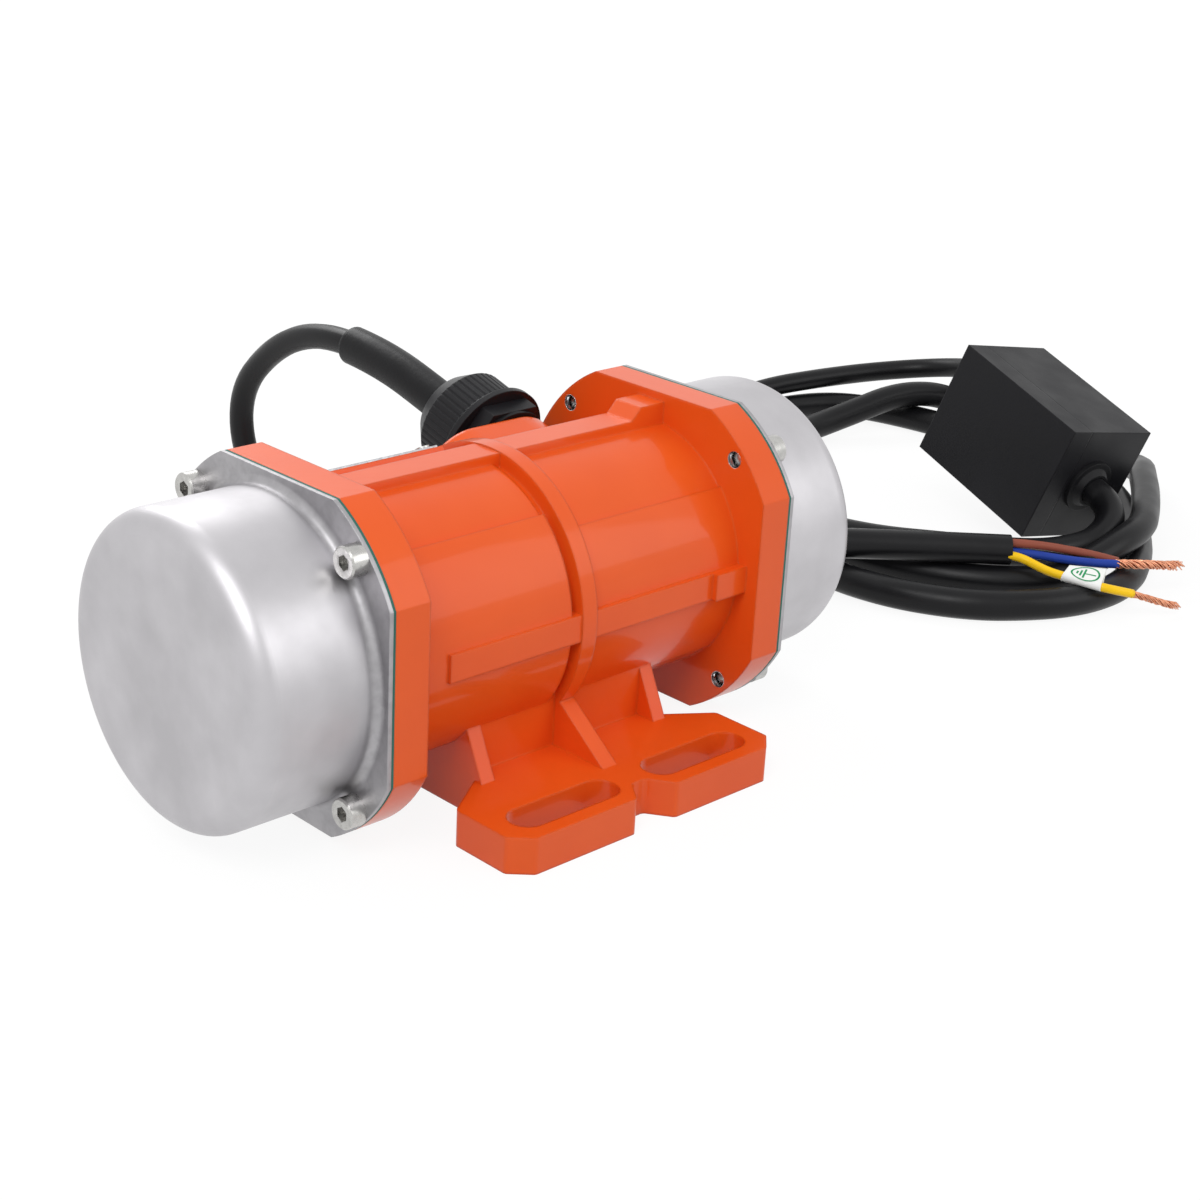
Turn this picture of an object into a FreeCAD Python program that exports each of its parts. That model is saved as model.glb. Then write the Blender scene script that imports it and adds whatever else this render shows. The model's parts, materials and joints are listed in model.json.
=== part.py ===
"""Vibration motor on a slotted foot, with a capacitor box on its lead.

X runs along the shaft, +Y is the side with the cable gland and +Z is up.  The origin is the
centre of the foot's mounting face.  Sizes are millimetres and degrees.
"""
import FreeCAD
import Part
import Sketcher
import math
import os
from types import SimpleNamespace

Vector = FreeCAD.Vector
Rotation = FreeCAD.Rotation
Placement = FreeCAD.Placement

SIZES = {
    # housing
    "body_length": 117.6, "axis_height": 39.5, "barrel_radius": 31, "bore_radius": 26,
    "flange_across_flats": 76, "flange_corner_radius": 42.7, "flange_thickness": 9,
    "register_radius": 32, "register_depth": 5,
    "near_panel_rise": 1.3, "near_panel_angle": 42, "far_panel_rise": 0.7, "far_panel_angle": 50,
    "band_radius": 33.5, "band_width": 4.4, "band_groove_width": 2.2, "band_groove_depth": 1,
    "ridge_width": 8.6, "ridge_height": 33, "ridge_block_rise": 3, "ridge_block_length": 7.6,
    "side_rib_height": 6.5, "side_rib_reach": 33, "side_step_length": 10,
    "side_step_depth": 0.9, "side_block_length": 10, "side_block_rise": 1.4,
    # foot
    "foot_length": 80.8, "foot_width": 114, "foot_thickness": 8.6,
    "foot_corner_x": 4.8, "foot_corner_y": 4.4,
    "ear_width": 20.4, "waist_width": 57.2, "foot_edge_radius": 1.5,
    "notch_depth": 6, "notch_width": 12.6, "notch_floor_width": 4,
    "slot_spacing_x": 40.2, "slot_spacing_y": 97, "slot_length": 30.3, "slot_width": 9,
    "pedestal_length": 57, "pedestal_width": 51, "pedestal_height": 20.5,
    "web_kink_height": 19.8, "web_foot_width": 84,
    "gusset_thickness": 3.8, "gusset_foot_width": 62.4,
    # gland boss
    "gland_tilt": 16, "gland_inset": 19.8, "gland_rise": 9, "boss_stretch": 15,
    "boss_drop": 1.5, "boss_radius": 13, "boss_height": 32.5, "boss_depth": 6,
    "boss_rim_radius": 1.6, "gland_thread_radius": 9.9, "gland_thread_length": 5,
    "cable_bore_radius": 5.5,
    # name plate
    "plate_tilt": 58, "plate_seat_height": 32.1, "plate_gap": 3.3, "plate_margin": 1,
    "plate_length": 37, "plate_width": 17, "plate_thickness": 0.6,
    "rivet_radius": 1.1, "rivet_head": 0.6, "rivet_inset": 2.4,
    # stator and windings
    "stator_length": 46, "air_gap": 0.4, "slot_count": 18,
    "stator_slot_width": 2.2, "stator_slot_depth": 6.5,
    "winding_inner": 16.6, "winding_outer": 24.4, "winding_reach": 10.5,
    "winding_turn_radius": 3,
    # end shields
    "shield_reach": 16.8, "lip_radius": 10, "shield_pocket_depth": 8,
    "shield_pocket_inner": 19, "shield_pocket_outer": 22.6,
    "shield_screw_circle": 28.9, "shield_screw_radius": 1.6, "shield_screw_length": 9,
    "shield_head_radius": 2.8, "shield_head_height": 2,
    # bearings and their clips
    "bearing_seat_reach": 12.8, "bearing_width": 10, "bearing_outer": 16,
    "bearing_outer_land": 13.1, "bearing_inner_land": 8.9,
    "ball_radius": 2.95, "ball_count": 8, "race_clearance": 0.08,
    "cage_width": 7.8, "cage_thickness": 1.2, "cage_clearance": 0.12,
    "clip_thickness": 1.1, "clip_depth": 1, "clip_gap": 0.1, "clip_shoulder": 2,
    # rotor and shaft
    "rotor_radius": 14.6, "end_ring_width": 5, "shaft_rotor_radius": 8,
    "shaft_shoulder_radius": 7.4, "shaft_end_radius": 6, "shaft_end_reach": 25.6,
    "shaft_chamfer": 0.8, "spacer_radius": 8.4, "spacer_reach": 4.4,
    # eccentric weights
    "weight_radius": 29.6, "weight_hub_radius": 11.5, "weight_thickness": 8.5,
    "weight_gap": 0.3, "weight_bore_clearance": 0.03,
    "key_width": 4, "key_height": 4, "key_seat_depth": 2.5,
    "set_screw_radius": 2.5, "set_screw_length": 5, "set_screw_key": 2.5,
    # end covers
    "gasket_thickness": 0.6, "cover_radius": 34.9, "cover_length": 30.4, "cover_wall": 1,
    "cover_edge_radius": 5, "cover_root_radius": 2, "cover_screw_circle": 78.9,
    "cover_screw_radius": 1.95, "cover_hole_radius": 2, "cover_head_radius": 3.5,
    "cover_head_height": 4, "cover_screw_length": 8.6, "hex_key": 3, "hex_key_depth": 2.2,
    # cable gland
    "gland_washer_thickness": 1, "gland_hex": 24, "gland_hex_height": 4.4,
    "gland_cap_radius": 13.3, "gland_cap_length": 12, "gland_cap_wall": 2.2,
    "gland_rim_radius": 15, "gland_rim_height": 1.6, "gland_dome_height": 6.6,
    "gland_mouth_radius": 5.3, "flute_count": 48, "flute_radius": 0.45,
    "gland_nose_radius": 9.6, "gland_nose_length": 9, "gland_nose_bore": 7.8,
    # capacitor box
    "box_depth": 35, "box_length": 50, "box_height": 37, "box_wall": 2, "box_lid_depth": 8,
    "box_x": 235.5, "box_y": 14.6, "box_yaw": -7.2, "box_pitch": 8.6, "box_roll": 17,
    "capacitor_radius": 12.5, "capacitor_length": 36,
    "grommet_neck_radius": 6.4, "grommet_flange_radius": 8.4, "grommet_flange": 1.4,
    "grommet_nose_radius": 6.6, "grommet_nose": 1.8,
    "inlet_inset": 6, "inlet_drop": 8,
    # leads
    "motor_cable_radius": 3.4, "sleeve_radius": 5.1, "supply_cable_radius": 4.35,
    "cable_straight": 23, "lead_straight": 16, "strand_gap": 0.1,
    "coil_width": 28, "core_radius": 1.05, "strand_radius": 0.9,
    "tag_x": 188, "tag_y": -40, "tag_lift": 11.6, "tag_length": 15, "tag_width": 12,
    "tag_thickness": 0.5,
}

document = FreeCAD.newDocument("VibrationMotor")
sheet = document.addObject("Spreadsheet::Sheet", "Sizes")
for row, (alias, number) in enumerate(SIZES.items(), start=1):
    sheet.set(f"A{row}", alias)
    sheet.set(f"B{row}", str(number))
    sheet.setAlias(f"B{row}", alias)
document.recompute()


class Size:
    """A length or an angle as its number and the sheet expression that gives it."""

    def __init__(self, value, text):
        self.value = float(value)
        self.text = text

    def join(self, sign, other, value, swap=False):
        first, second = (as_size(other), self) if swap else (self, as_size(other))
        return Size(value(first.value, second.value), f"({first.text} {sign} {second.text})")

    def __add__(self, other):
        return self.join("+", other, lambda a, b: a + b)

    def __radd__(self, other):
        return self.join("+", other, lambda a, b: a + b, swap=True)

    def __sub__(self, other):
        return self.join("-", other, lambda a, b: a - b)

    def __rsub__(self, other):
        return self.join("-", other, lambda a, b: a - b, swap=True)

    def __mul__(self, other):
        return self.join("*", other, lambda a, b: a * b)

    def __rmul__(self, other):
        return self.join("*", other, lambda a, b: a * b, swap=True)

    def __truediv__(self, other):
        return self.join("/", other, lambda a, b: a / b)

    def __neg__(self):
        return Size(-self.value, f"-({self.text})")


def as_size(number):
    return number if isinstance(number, Size) else Size(number, repr(float(number)))


def sine(angle):
    angle = as_size(angle)
    return Size(math.sin(math.radians(angle.value)), f"sin({angle.text})")


def cosine(angle):
    angle = as_size(angle)
    return Size(math.cos(math.radians(angle.value)), f"cos({angle.text})")


def root(number):
    return Size(math.sqrt(number.value), f"sqrt({number.text})")


def leg(long_side, other):
    """The other leg of a right triangle."""
    return root(long_side * long_side - other * other)


s = SimpleNamespace(**{alias: Size(number, f"Sizes.{alias}") for alias, number in SIZES.items()})
HALF = s.body_length / 2
X_AXIS, Z_AXIS = Vector(1, 0, 0), Vector(0, 0, 1)
ORIGIN = (0, 0)
TOLERANCE = 1e-4
parts = []


# ---------------------------------------------------------------- bodies and sketches

def origin_feature(body, role):
    return next(feature for feature in body.Origin.OriginFeatures if feature.Role == role)


def place(item, x=0, y=0, z=0, rotation=None, angle=None):
    """Set an object's Placement, with its base and its turning angle bound to the sheet."""
    base = [as_size(value) for value in (x, y, z)]
    item.Placement = Placement(Vector(*[value.value for value in base]), rotation or Rotation())
    for letter, value in zip("xyz", base):
        item.setExpression(f"Placement.Base.{letter}", value.text)
    if angle is not None:
        item.setExpression("Placement.Rotation.Angle", angle.text)
    return item


def new_body(label):
    body = document.addObject("PartDesign::Body", label)
    body.Label = label
    parts.append(body)
    return body


def on_axis(body, x=0, turned=False):
    """Put a body on the shaft's axis; turned faces it the other way along X."""
    return place(body, x, 0, s.axis_height, Rotation(Z_AXIS, 180 if turned else 0))


def new_sketch(body, plane, offset=0, tilt=None):
    sketch = body.newObject("Sketcher::SketchObject", "Sketch")
    sketch.AttachmentSupport = [(origin_feature(body, f"{plane}_Plane"), "")]
    sketch.MapMode = "FlatFace"
    offset = as_size(offset)
    if tilt is None:
        sketch.AttachmentOffset = Placement(Vector(0, 0, offset.value), Rotation())
        sketch.setExpression("AttachmentOffset.Base.z", offset.text)
    else:
        turn = -(90 - tilt)
        reach = (offset * cosine(tilt), offset * sine(tilt))
        sketch.AttachmentOffset = Placement(Vector(0, reach[0].value, reach[1].value),
                                            Rotation(X_AXIS, turn.value))
        sketch.setExpression("AttachmentOffset.Base.y", reach[0].text)
        sketch.setExpression("AttachmentOffset.Base.z", reach[1].text)
        sketch.setExpression("AttachmentOffset.Rotation.Angle", turn.text)
    return sketch


def constrain(sketch, kind, *where_and_value):
    *where, value = where_and_value
    index = sketch.addConstraint(Sketcher.Constraint(kind, *where, value.value))
    sketch.setExpression(f"Constraints[{index}]", value.text)


def pin(sketch, geometry, point, x=None, y=None):
    """Hold a point at x and y from the sketch's origin."""
    for kind, axis, value in (("DistanceX", -2, x), ("DistanceY", -1, y)):
        if value is None:
            continue
        value = as_size(value)
        if abs(value.value) < TOLERANCE:
            sketch.addConstraint(Sketcher.Constraint("PointOnObject", geometry, point, axis))
        else:
            constrain(sketch, kind, -1, 1, geometry, point, value)


def add_circle(sketch, centre, radius):
    x, y = [as_size(value) for value in centre]
    circle = Part.Circle(Vector(x.value, y.value, 0), Z_AXIS, radius.value)
    index = sketch.addGeometry(circle)
    pin(sketch, index, 3, x, y)
    constrain(sketch, "Radius", index, radius)


def bend(centre, radius, clockwise=False):
    """A side of an outline that runs round a centre to the next point."""
    return SimpleNamespace(centre=[as_size(value) for value in centre], radius=as_size(radius),
                           clockwise=clockwise)


def add_outline(sketch, *steps):
    """A closed outline: points, with a bend between two of them where the side is round."""
    points = []
    sides = {}
    for step in steps:
        if isinstance(step, SimpleNamespace):
            sides[len(points) - 1] = step
        else:
            points.append([as_size(value) for value in step])
    at = [Vector(x.value, y.value, 0) for x, y in points]
    ends = []
    for number, start in enumerate(at):
        stop = at[(number + 1) % len(at)]
        side = sides.get(number)
        if side is None:
            index = sketch.addGeometry(Part.LineSegment(start, stop))
            ends.append((index, 1, 2))
            continue
        middle = Vector(side.centre[0].value, side.centre[1].value, 0)
        first, last = (stop, start) if side.clockwise else (start, stop)
        angles = [math.atan2(p.y - middle.y, p.x - middle.x) for p in (first, last)]
        if angles[1] <= angles[0]:
            angles[1] += 2 * math.pi
        circle = Part.Circle(middle, Z_AXIS, side.radius.value)
        index = sketch.addGeometry(Part.ArcOfCircle(circle, *angles))
        ends.append((index, 2, 1) if side.clockwise else (index, 1, 2))
        pin(sketch, index, 3, *side.centre)
        constrain(sketch, "Radius", index, side.radius)
    for number, (index, start, stop) in enumerate(ends):
        follower, follower_start, _ = ends[(number + 1) % len(ends)]
        sketch.addConstraint(Sketcher.Constraint("Coincident", index, stop, follower,
                                                 follower_start))
    for number, (x, y) in enumerate(points):
        side = sides.get(number) or sides.get((number - 1) % len(points))
        index, start, _ = ends[number]
        if side is None:
            pin(sketch, index, start, x, y)
            continue
        across = abs(x.value - side.centre[0].value) > abs(y.value - side.centre[1].value)
        pin(sketch, index, start, *((None, y) if across else (x, None)))


def rectangle(x0, y0, x1, y1):
    return (x0, y0), (x1, y0), (x1, y1), (x0, y1)


def slot_outline(x, y, length, radius):
    """A slot along the sketch's first axis, round at both ends."""
    reach = length / 2 - radius
    left, right = (x - reach, y), (x + reach, y)
    return ((x - reach, y - radius), (x + reach, y - radius), bend(right, radius),
            (x + reach, y + radius), (x - reach, y + radius), bend(left, radius))


def add_hexagon(sketch, across_flats, centre=ORIGIN):
    radius = across_flats / math.sqrt(3)
    add_outline(sketch, *[(centre[0] + radius * cosine(60 * corner),
                           centre[1] + radius * sine(60 * corner)) for corner in range(6)])


def feature(body, kind, sketch, length=None, both_ways=False, reverse=False, angle=None,
            axis="H_Axis"):
    item = body.newObject(f"PartDesign::{kind}", kind)
    item.Profile = sketch
    if kind in ("Revolution", "Groove"):
        item.ReferenceAxis = (sketch, [axis])
        item.Angle = angle.value if angle else 360
        item.Midplane = both_ways
        if angle:
            item.setExpression("Angle", angle.text)
    elif length is None:
        item.Type = "ThroughAll"
        item.Midplane = both_ways
    else:
        item.setExpression("Length", length.text)
        item.Length = length.value
        item.Midplane = both_ways
    item.Reversed = reverse
    sketch.Visibility = False
    body.Tip = item
    document.recompute()
    return item


def pad(body, sketch, length, both_ways=False, reverse=False):
    return feature(body, "Pad", sketch, length, both_ways, reverse)


def pocket(body, sketch, length=None, both_ways=False, reverse=False):
    return feature(body, "Pocket", sketch, length, both_ways, reverse)


def turned(body, kind, *outline, axis="H_Axis", angle=None, plane="XZ"):
    """A Revolution or Groove of an outline about its sketch's first or, V_Axis, second axis."""
    sketch = new_sketch(body, plane)
    add_outline(sketch, *outline)
    return feature(body, kind, sketch, angle=angle, both_ways=angle is not None, axis=axis)


def mirrored(body, *items):
    """The same features on the other side of the body's YZ plane."""
    mirror = body.newObject("PartDesign::Mirrored", "Mirrored")
    mirror.Originals = list(items)
    mirror.MirrorPlane = (origin_feature(body, "YZ_Plane"), [""])
    body.Tip = mirror
    document.recompute()
    return mirror


def polar(body, item, count, role="X_Axis"):
    pattern = body.newObject("PartDesign::PolarPattern", "PolarPattern")
    pattern.Originals = [item]
    pattern.Axis = (origin_feature(body, role), [""])
    pattern.Angle = 360
    if isinstance(count, Size):
        pattern.setExpression("Occurrences", count.text)
        count = int(count.value)
    pattern.Occurrences = count
    body.Tip = pattern
    document.recompute()
    return pattern


def dressed(body, kind, size, wanted):
    """Fillet or Chamfer of the edges for which wanted(edge) holds."""
    base = body.Tip
    names = [f"Edge{number}" for number, edge in enumerate(base.Shape.Edges, start=1)
             if wanted(edge)]
    item = body.newObject(f"PartDesign::{kind}", kind)
    item.Base = (base, names)
    name = "Radius" if kind == "Fillet" else "Size"
    setattr(item, name, size.value)
    item.setExpression(name, size.text)
    body.Tip = item
    document.recompute()
    return item


def shaped(label, shape):
    """A cord or a sleeve, which Part's own functions make."""
    item = document.addObject("Part::Feature", label)
    item.Label = label
    item.Shape = shape
    parts.append(item)


# ---------------------------------------------------------------- housing

FLANGE_FACE = HALF - s.flange_thickness
PLATE_STATION = s.plate_gap + s.plate_margin + s.plate_length / 2 - FLANGE_FACE
GLAND_STATION = FLANGE_FACE - s.gland_inset
SCREW_REACH = s.cover_screw_circle / 2 * cosine(45)
CORNERS = [(across, up) for across in (-1, 1) for up in (-1, 1)]
ACROSS_AND_UP = [(1, 0), (0, 1), (-1, 0), (0, -1)]


def flange_outline():
    """A square with its corners cut by a circle."""
    flat = s.flange_across_flats / 2
    corner = s.flange_corner_radius
    reach = leg(corner, flat)
    rim = bend(ORIGIN, corner)
    return ((flat, -reach), (flat, reach), rim, (reach, flat), (-reach, flat), rim,
            (-flat, reach), (-flat, -reach), rim, (-reach, -flat), (reach, -flat), rim)


def add_cover_holes(sketch, radius):
    for across, up in CORNERS:
        add_circle(sketch, (across * SCREW_REACH, up * SCREW_REACH), radius)


def add_shield_holes(sketch, radius):
    for across, up in ACROSS_AND_UP:
        circle = s.shield_screw_circle
        add_circle(sketch, (across * circle, up * circle), radius)


def add_barrel(body):
    turned(body, "Revolution", *rectangle(-HALF, 0, HALF, s.barrel_radius))
    sketch = new_sketch(body, "YZ", -HALF)
    add_outline(sketch, *flange_outline())
    mirrored(body, pad(body, sketch, s.flange_thickness))
    skin = s.barrel_radius - s.near_panel_rise
    groove = s.band_width / 2 + s.band_groove_width
    for start, stop, rise, angle in (
            (-FLANGE_FACE, -groove, s.near_panel_rise, s.near_panel_angle),
            (0, FLANGE_FACE, s.far_panel_rise, s.far_panel_angle)):
        for side in (-1, 1):
            panel = rectangle(start, side * skin, stop, side * (s.barrel_radius + rise))
            turned(body, "Revolution", *panel, angle=180 - 2 * angle, plane="XY")
    turned(body, "Revolution", *rectangle(-s.band_width / 2, skin, s.band_width / 2,
                                          s.band_radius))
    turned(body, "Groove", *rectangle(-groove, s.barrel_radius - s.band_groove_depth,
                                      -s.band_width / 2, s.band_radius))


def add_ribs(body):
    inside = s.bore_radius
    sketch = new_sketch(body, "YZ")
    add_outline(sketch, *rectangle(-s.ridge_width / 2, 0, s.ridge_width / 2, s.ridge_height))
    pad(body, sketch, 2 * FLANGE_FACE, both_ways=True)
    sketch = new_sketch(body, "XZ")
    block_top = s.ridge_height + s.ridge_block_rise
    start = FLANGE_FACE - s.ridge_block_length
    add_outline(sketch, (start - s.ridge_block_rise, inside), (FLANGE_FACE, inside),
                (FLANGE_FACE, block_top), (start, block_top),
                (start - s.ridge_block_rise, s.ridge_height))
    pad(body, sketch, s.ridge_width, both_ways=True)
    half_rib = s.side_rib_height / 2
    for start, stop, reach, half_height in (
            (s.side_step_length - FLANGE_FACE, FLANGE_FACE, s.side_rib_reach, half_rib),
            (-FLANGE_FACE, s.side_step_length - FLANGE_FACE,
             s.side_rib_reach - s.side_step_depth, half_rib - s.side_step_depth),
            (FLANGE_FACE - s.side_block_length, FLANGE_FACE,
             s.side_rib_reach + s.side_block_rise, half_rib)):
        sketch = new_sketch(body, "YZ", start)
        add_outline(sketch, *rectangle(-reach, -half_height, reach, half_height))
        pad(body, sketch, stop - start)


def add_foot(body):
    """The slotted foot plate, the pedestal and the webs that carry the barrel."""
    floor = -s.axis_height
    deck = floor + s.foot_thickness
    half_x, half_y = s.foot_length / 2, s.foot_width / 2
    cut_x, cut_y = half_x - s.foot_corner_x, half_y - s.foot_corner_y
    notch, notch_floor = s.notch_width / 2, s.notch_floor_width / 2
    front = [(cut_x, half_y), (notch, half_y), (notch_floor, half_y - s.notch_depth),
             (-notch_floor, half_y - s.notch_depth), (-notch, half_y), (-cut_x, half_y)]
    back = [(-x, -y) for x, y in front]
    ear, waist_x, waist_y = half_y - s.ear_width, s.pedestal_length / 2, s.waist_width / 2
    waist = [(-half_x, cut_y), (-half_x, ear), (-waist_x, waist_y), (-waist_x, -waist_y),
             (-half_x, -ear), (-half_x, -cut_y)]
    sketch = new_sketch(body, "XY", floor)
    add_outline(sketch, *front, *waist, *back, *[(-x, -y) for x, y in waist])
    pad(body, sketch, s.foot_thickness)
    dressed(body, "Fillet", s.foot_edge_radius, is_foot_corner)
    half_pedestal = s.pedestal_width / 2
    sketch = new_sketch(body, "YZ")
    add_outline(sketch, *rectangle(-half_pedestal, floor, half_pedestal, 0))
    pad(body, sketch, s.pedestal_length, both_ways=True)
    shoulder = floor + s.pedestal_height
    half_gusset = s.gusset_foot_width / 2
    sketch = new_sketch(body, "YZ", (s.gusset_thickness - s.pedestal_length) / 2)
    add_outline(sketch, (-half_gusset, deck), (half_gusset, deck), (half_pedestal, shoulder),
                (-half_pedestal, shoulder))
    mirrored(body, pad(body, sketch, s.gusset_thickness, both_ways=True))
    kink = floor + s.web_kink_height
    kink_reach = leg(s.band_radius, kink)
    half_web = s.web_foot_width / 2
    sketch = new_sketch(body, "YZ")
    add_outline(sketch, (-half_web, deck), (half_web, deck), (kink_reach, kink),
                (-kink_reach, kink))
    pad(body, sketch, s.band_width, both_ways=True)
    sketch = new_sketch(body, "XY", floor)
    for across, along in CORNERS:
        add_outline(sketch, *slot_outline(across * s.slot_spacing_x / 2,
                                          along * s.slot_spacing_y / 2,
                                          s.slot_length, s.slot_width / 2))
    pocket(body, sketch, s.foot_thickness, reverse=True)


def is_foot_corner(edge):
    """Whether an edge stands at an outer corner of one of the foot's ears."""
    box = edge.BoundBox
    upright = box.XLength + box.YLength < TOLERANCE
    full = abs(box.ZLength - s.foot_thickness.value) < TOLERANCE
    return upright and full and 2 * abs(box.YMax) > s.waist_width.value + TOLERANCE


def add_boss(body):
    """The cable gland's boss, which leans to the back, with its rim rounded."""
    sketch = new_sketch(body, "XY", s.boss_height, tilt=s.gland_tilt)
    middle = GLAND_STATION - s.boss_stretch / 2
    length = s.boss_stretch + 2 * s.boss_radius
    add_outline(sketch, *slot_outline(middle, s.boss_drop - s.gland_rise, length,
                                      s.boss_radius))
    pad(body, sketch, s.boss_height - s.bore_radius + s.boss_depth, reverse=True)
    dressed(body, "Fillet", s.boss_rim_radius, is_boss_rim)


def is_boss_rim(edge):
    heights = [point.y * cosine(s.gland_tilt).value + point.z * sine(s.gland_tilt).value
               for point in edge.discretize(3)]
    return all(abs(height - s.boss_height.value) < TOLERANCE for height in heights)


def add_plate_seat(body):
    sketch = new_sketch(body, "XY", s.plate_seat_height, tilt=s.plate_tilt)
    half_x = s.plate_length / 2 + s.plate_margin
    half_y = s.plate_width / 2 + s.plate_margin
    add_outline(sketch, *rectangle(PLATE_STATION - half_x, -half_y, PLATE_STATION + half_x,
                                   half_y))
    pad(body, sketch, s.plate_seat_height - s.bore_radius, reverse=True)


def cut_bores(body):
    register = HALF - s.register_depth
    turned(body, "Groove", (-HALF, 0), (HALF, 0), (HALF, s.register_radius),
           (register, s.register_radius), (register, s.bore_radius),
           (-register, s.bore_radius), (-register, s.register_radius),
           (-HALF, s.register_radius))
    sketch = new_sketch(body, "YZ", -HALF)
    add_cover_holes(sketch, s.cover_screw_radius)
    mirrored(body, pocket(body, sketch, s.flange_thickness, reverse=True))
    sketch = new_sketch(body, "YZ", -register)
    add_shield_holes(sketch, s.shield_screw_radius)
    mirrored(body, pocket(body, sketch, s.shield_screw_length, reverse=True))
    centre = (GLAND_STATION, -s.gland_rise)
    for radius, depth in ((s.gland_thread_radius, s.gland_thread_length),
                          (s.cable_bore_radius, s.boss_height)):
        sketch = new_sketch(body, "XY", s.boss_height, tilt=s.gland_tilt)
        add_circle(sketch, centre, radius)
        pocket(body, sketch, depth)


def make_housing():
    body = on_axis(new_body("housing"))
    add_boss(body)
    add_barrel(body)
    add_ribs(body)
    add_foot(body)
    add_plate_seat(body)
    cut_bores(body)


# ---------------------------------------------------------------- stator, shields, bearings

STATOR_INNER = s.rotor_radius + s.air_gap
SEAT_START = HALF - s.bearing_seat_reach
SEAT_END = SEAT_START + s.bearing_width
PITCH = (s.bearing_outer + s.shaft_end_radius) / 2
SIDES = ("left", "right")


def for_side(name, side, x=0):
    """A new body on the shaft's axis; the left one is the right one turned about."""
    left = side == "left"
    return on_axis(new_body(f"{name}_{side}"), -x if left else x, turned=left)


def make_stator():
    body = on_axis(new_body("stator_core"))
    sketch = new_sketch(body, "YZ")
    add_circle(sketch, ORIGIN, s.bore_radius)
    add_circle(sketch, ORIGIN, STATOR_INNER)
    pad(body, sketch, s.stator_length, both_ways=True)
    half_slot = s.stator_slot_width / 2
    mouth = STATOR_INNER - s.air_gap
    sketch = new_sketch(body, "YZ")
    add_outline(sketch, *rectangle(-half_slot, mouth, half_slot,
                                   STATOR_INNER + s.stator_slot_depth))
    polar(body, pocket(body, sketch, s.stator_length, both_ways=True), s.slot_count)


def make_windings(side):
    body = for_side("windings", side)
    start = s.stator_length / 2
    stop = start + s.winding_reach
    inner, outer, turn = s.winding_inner, s.winding_outer, s.winding_turn_radius
    turned(body, "Revolution", (start, inner), (stop - turn, inner),
           bend((stop - turn, inner + turn), turn), (stop, inner + turn), (stop, outer - turn),
           bend((stop - turn, outer - turn), turn), (stop - turn, outer), (start, outer))


def make_end_shield(side):
    body = for_side("end_shield", side)
    start = HALF - s.shield_reach
    register = HALF - s.register_depth
    recess = start + s.shield_pocket_depth
    groove = s.bearing_outer + s.clip_depth
    groove_end = SEAT_END + s.clip_thickness + s.clip_gap
    turned(body, "Revolution", (start, s.lip_radius), (SEAT_START, s.lip_radius),
           (SEAT_START, s.bearing_outer), (SEAT_END, s.bearing_outer), (SEAT_END, groove),
           (groove_end, groove), (groove_end, s.bearing_outer), (HALF, s.bearing_outer),
           (HALF, s.register_radius), (register, s.register_radius),
           (register, s.bore_radius), (start, s.bore_radius), (start, s.shield_pocket_outer),
           (recess, s.shield_pocket_outer), (recess, s.shield_pocket_inner),
           (start, s.shield_pocket_inner))
    sketch = new_sketch(body, "YZ", HALF)
    add_shield_holes(sketch, s.shield_screw_radius)
    pocket(body, sketch, s.register_depth)
    sketch = new_sketch(body, "YZ", HALF)
    add_shield_holes(sketch, s.shield_head_radius)
    pocket(body, sketch, s.shield_head_height)


def make_shield_screws(side):
    body = for_side("shield_screws", side)
    sketch = new_sketch(body, "YZ", HALF)
    add_shield_holes(sketch, s.shield_screw_radius)
    pad(body, sketch, s.register_depth + s.shield_screw_length, reverse=True)
    sketch = new_sketch(body, "YZ", HALF)
    add_shield_holes(sketch, s.shield_head_radius)
    pad(body, sketch, s.shield_head_height, reverse=True)


def make_shield_clips():
    body = on_axis(new_body("shield_clips"))
    sketch = new_sketch(body, "YZ", SEAT_END)
    add_circle(sketch, ORIGIN, s.bearing_outer + s.clip_depth)
    add_circle(sketch, ORIGIN, s.bearing_outer - s.clip_shoulder)
    mirrored(body, pad(body, sketch, s.clip_thickness))


def make_ring(name, side, back, land):
    """A bearing ring between its back's and its land's radii; the land has the ball groove."""
    body = for_side(name, side, SEAT_START)
    width, middle = s.bearing_width, s.bearing_width / 2
    groove = s.ball_radius + s.race_clearance
    drop = land - PITCH
    half = leg(groove, drop)
    race = ((middle - half, land), bend((middle, PITCH), groove, clockwise=drop.value > 0),
            (middle + half, land))
    turned(body, "Revolution", (0, back), (0, land), *race, (width, land), (width, back))


def make_cage(side):
    body = for_side("bearing_cage", side, SEAT_START)
    start = (s.bearing_width - s.cage_width) / 2
    half = s.cage_thickness / 2
    turned(body, "Revolution", *rectangle(start, PITCH - half, start + s.cage_width,
                                          PITCH + half))
    sketch = new_sketch(body, "XY", PITCH + s.cage_thickness)
    add_circle(sketch, (s.bearing_width / 2, 0), s.ball_radius + s.cage_clearance)
    polar(body, pocket(body, sketch, 2 * s.cage_thickness), s.ball_count)


def make_balls(side):
    body = for_side("bearing_balls", side, SEAT_START)
    middle, radius = s.bearing_width / 2, s.ball_radius
    sketch = new_sketch(body, "XY", PITCH)
    add_outline(sketch, (middle + radius, 0), bend((middle, 0), radius), (middle - radius, 0))
    polar(body, feature(body, "Revolution", sketch), s.ball_count)


# ---------------------------------------------------------------- rotor and weights

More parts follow.
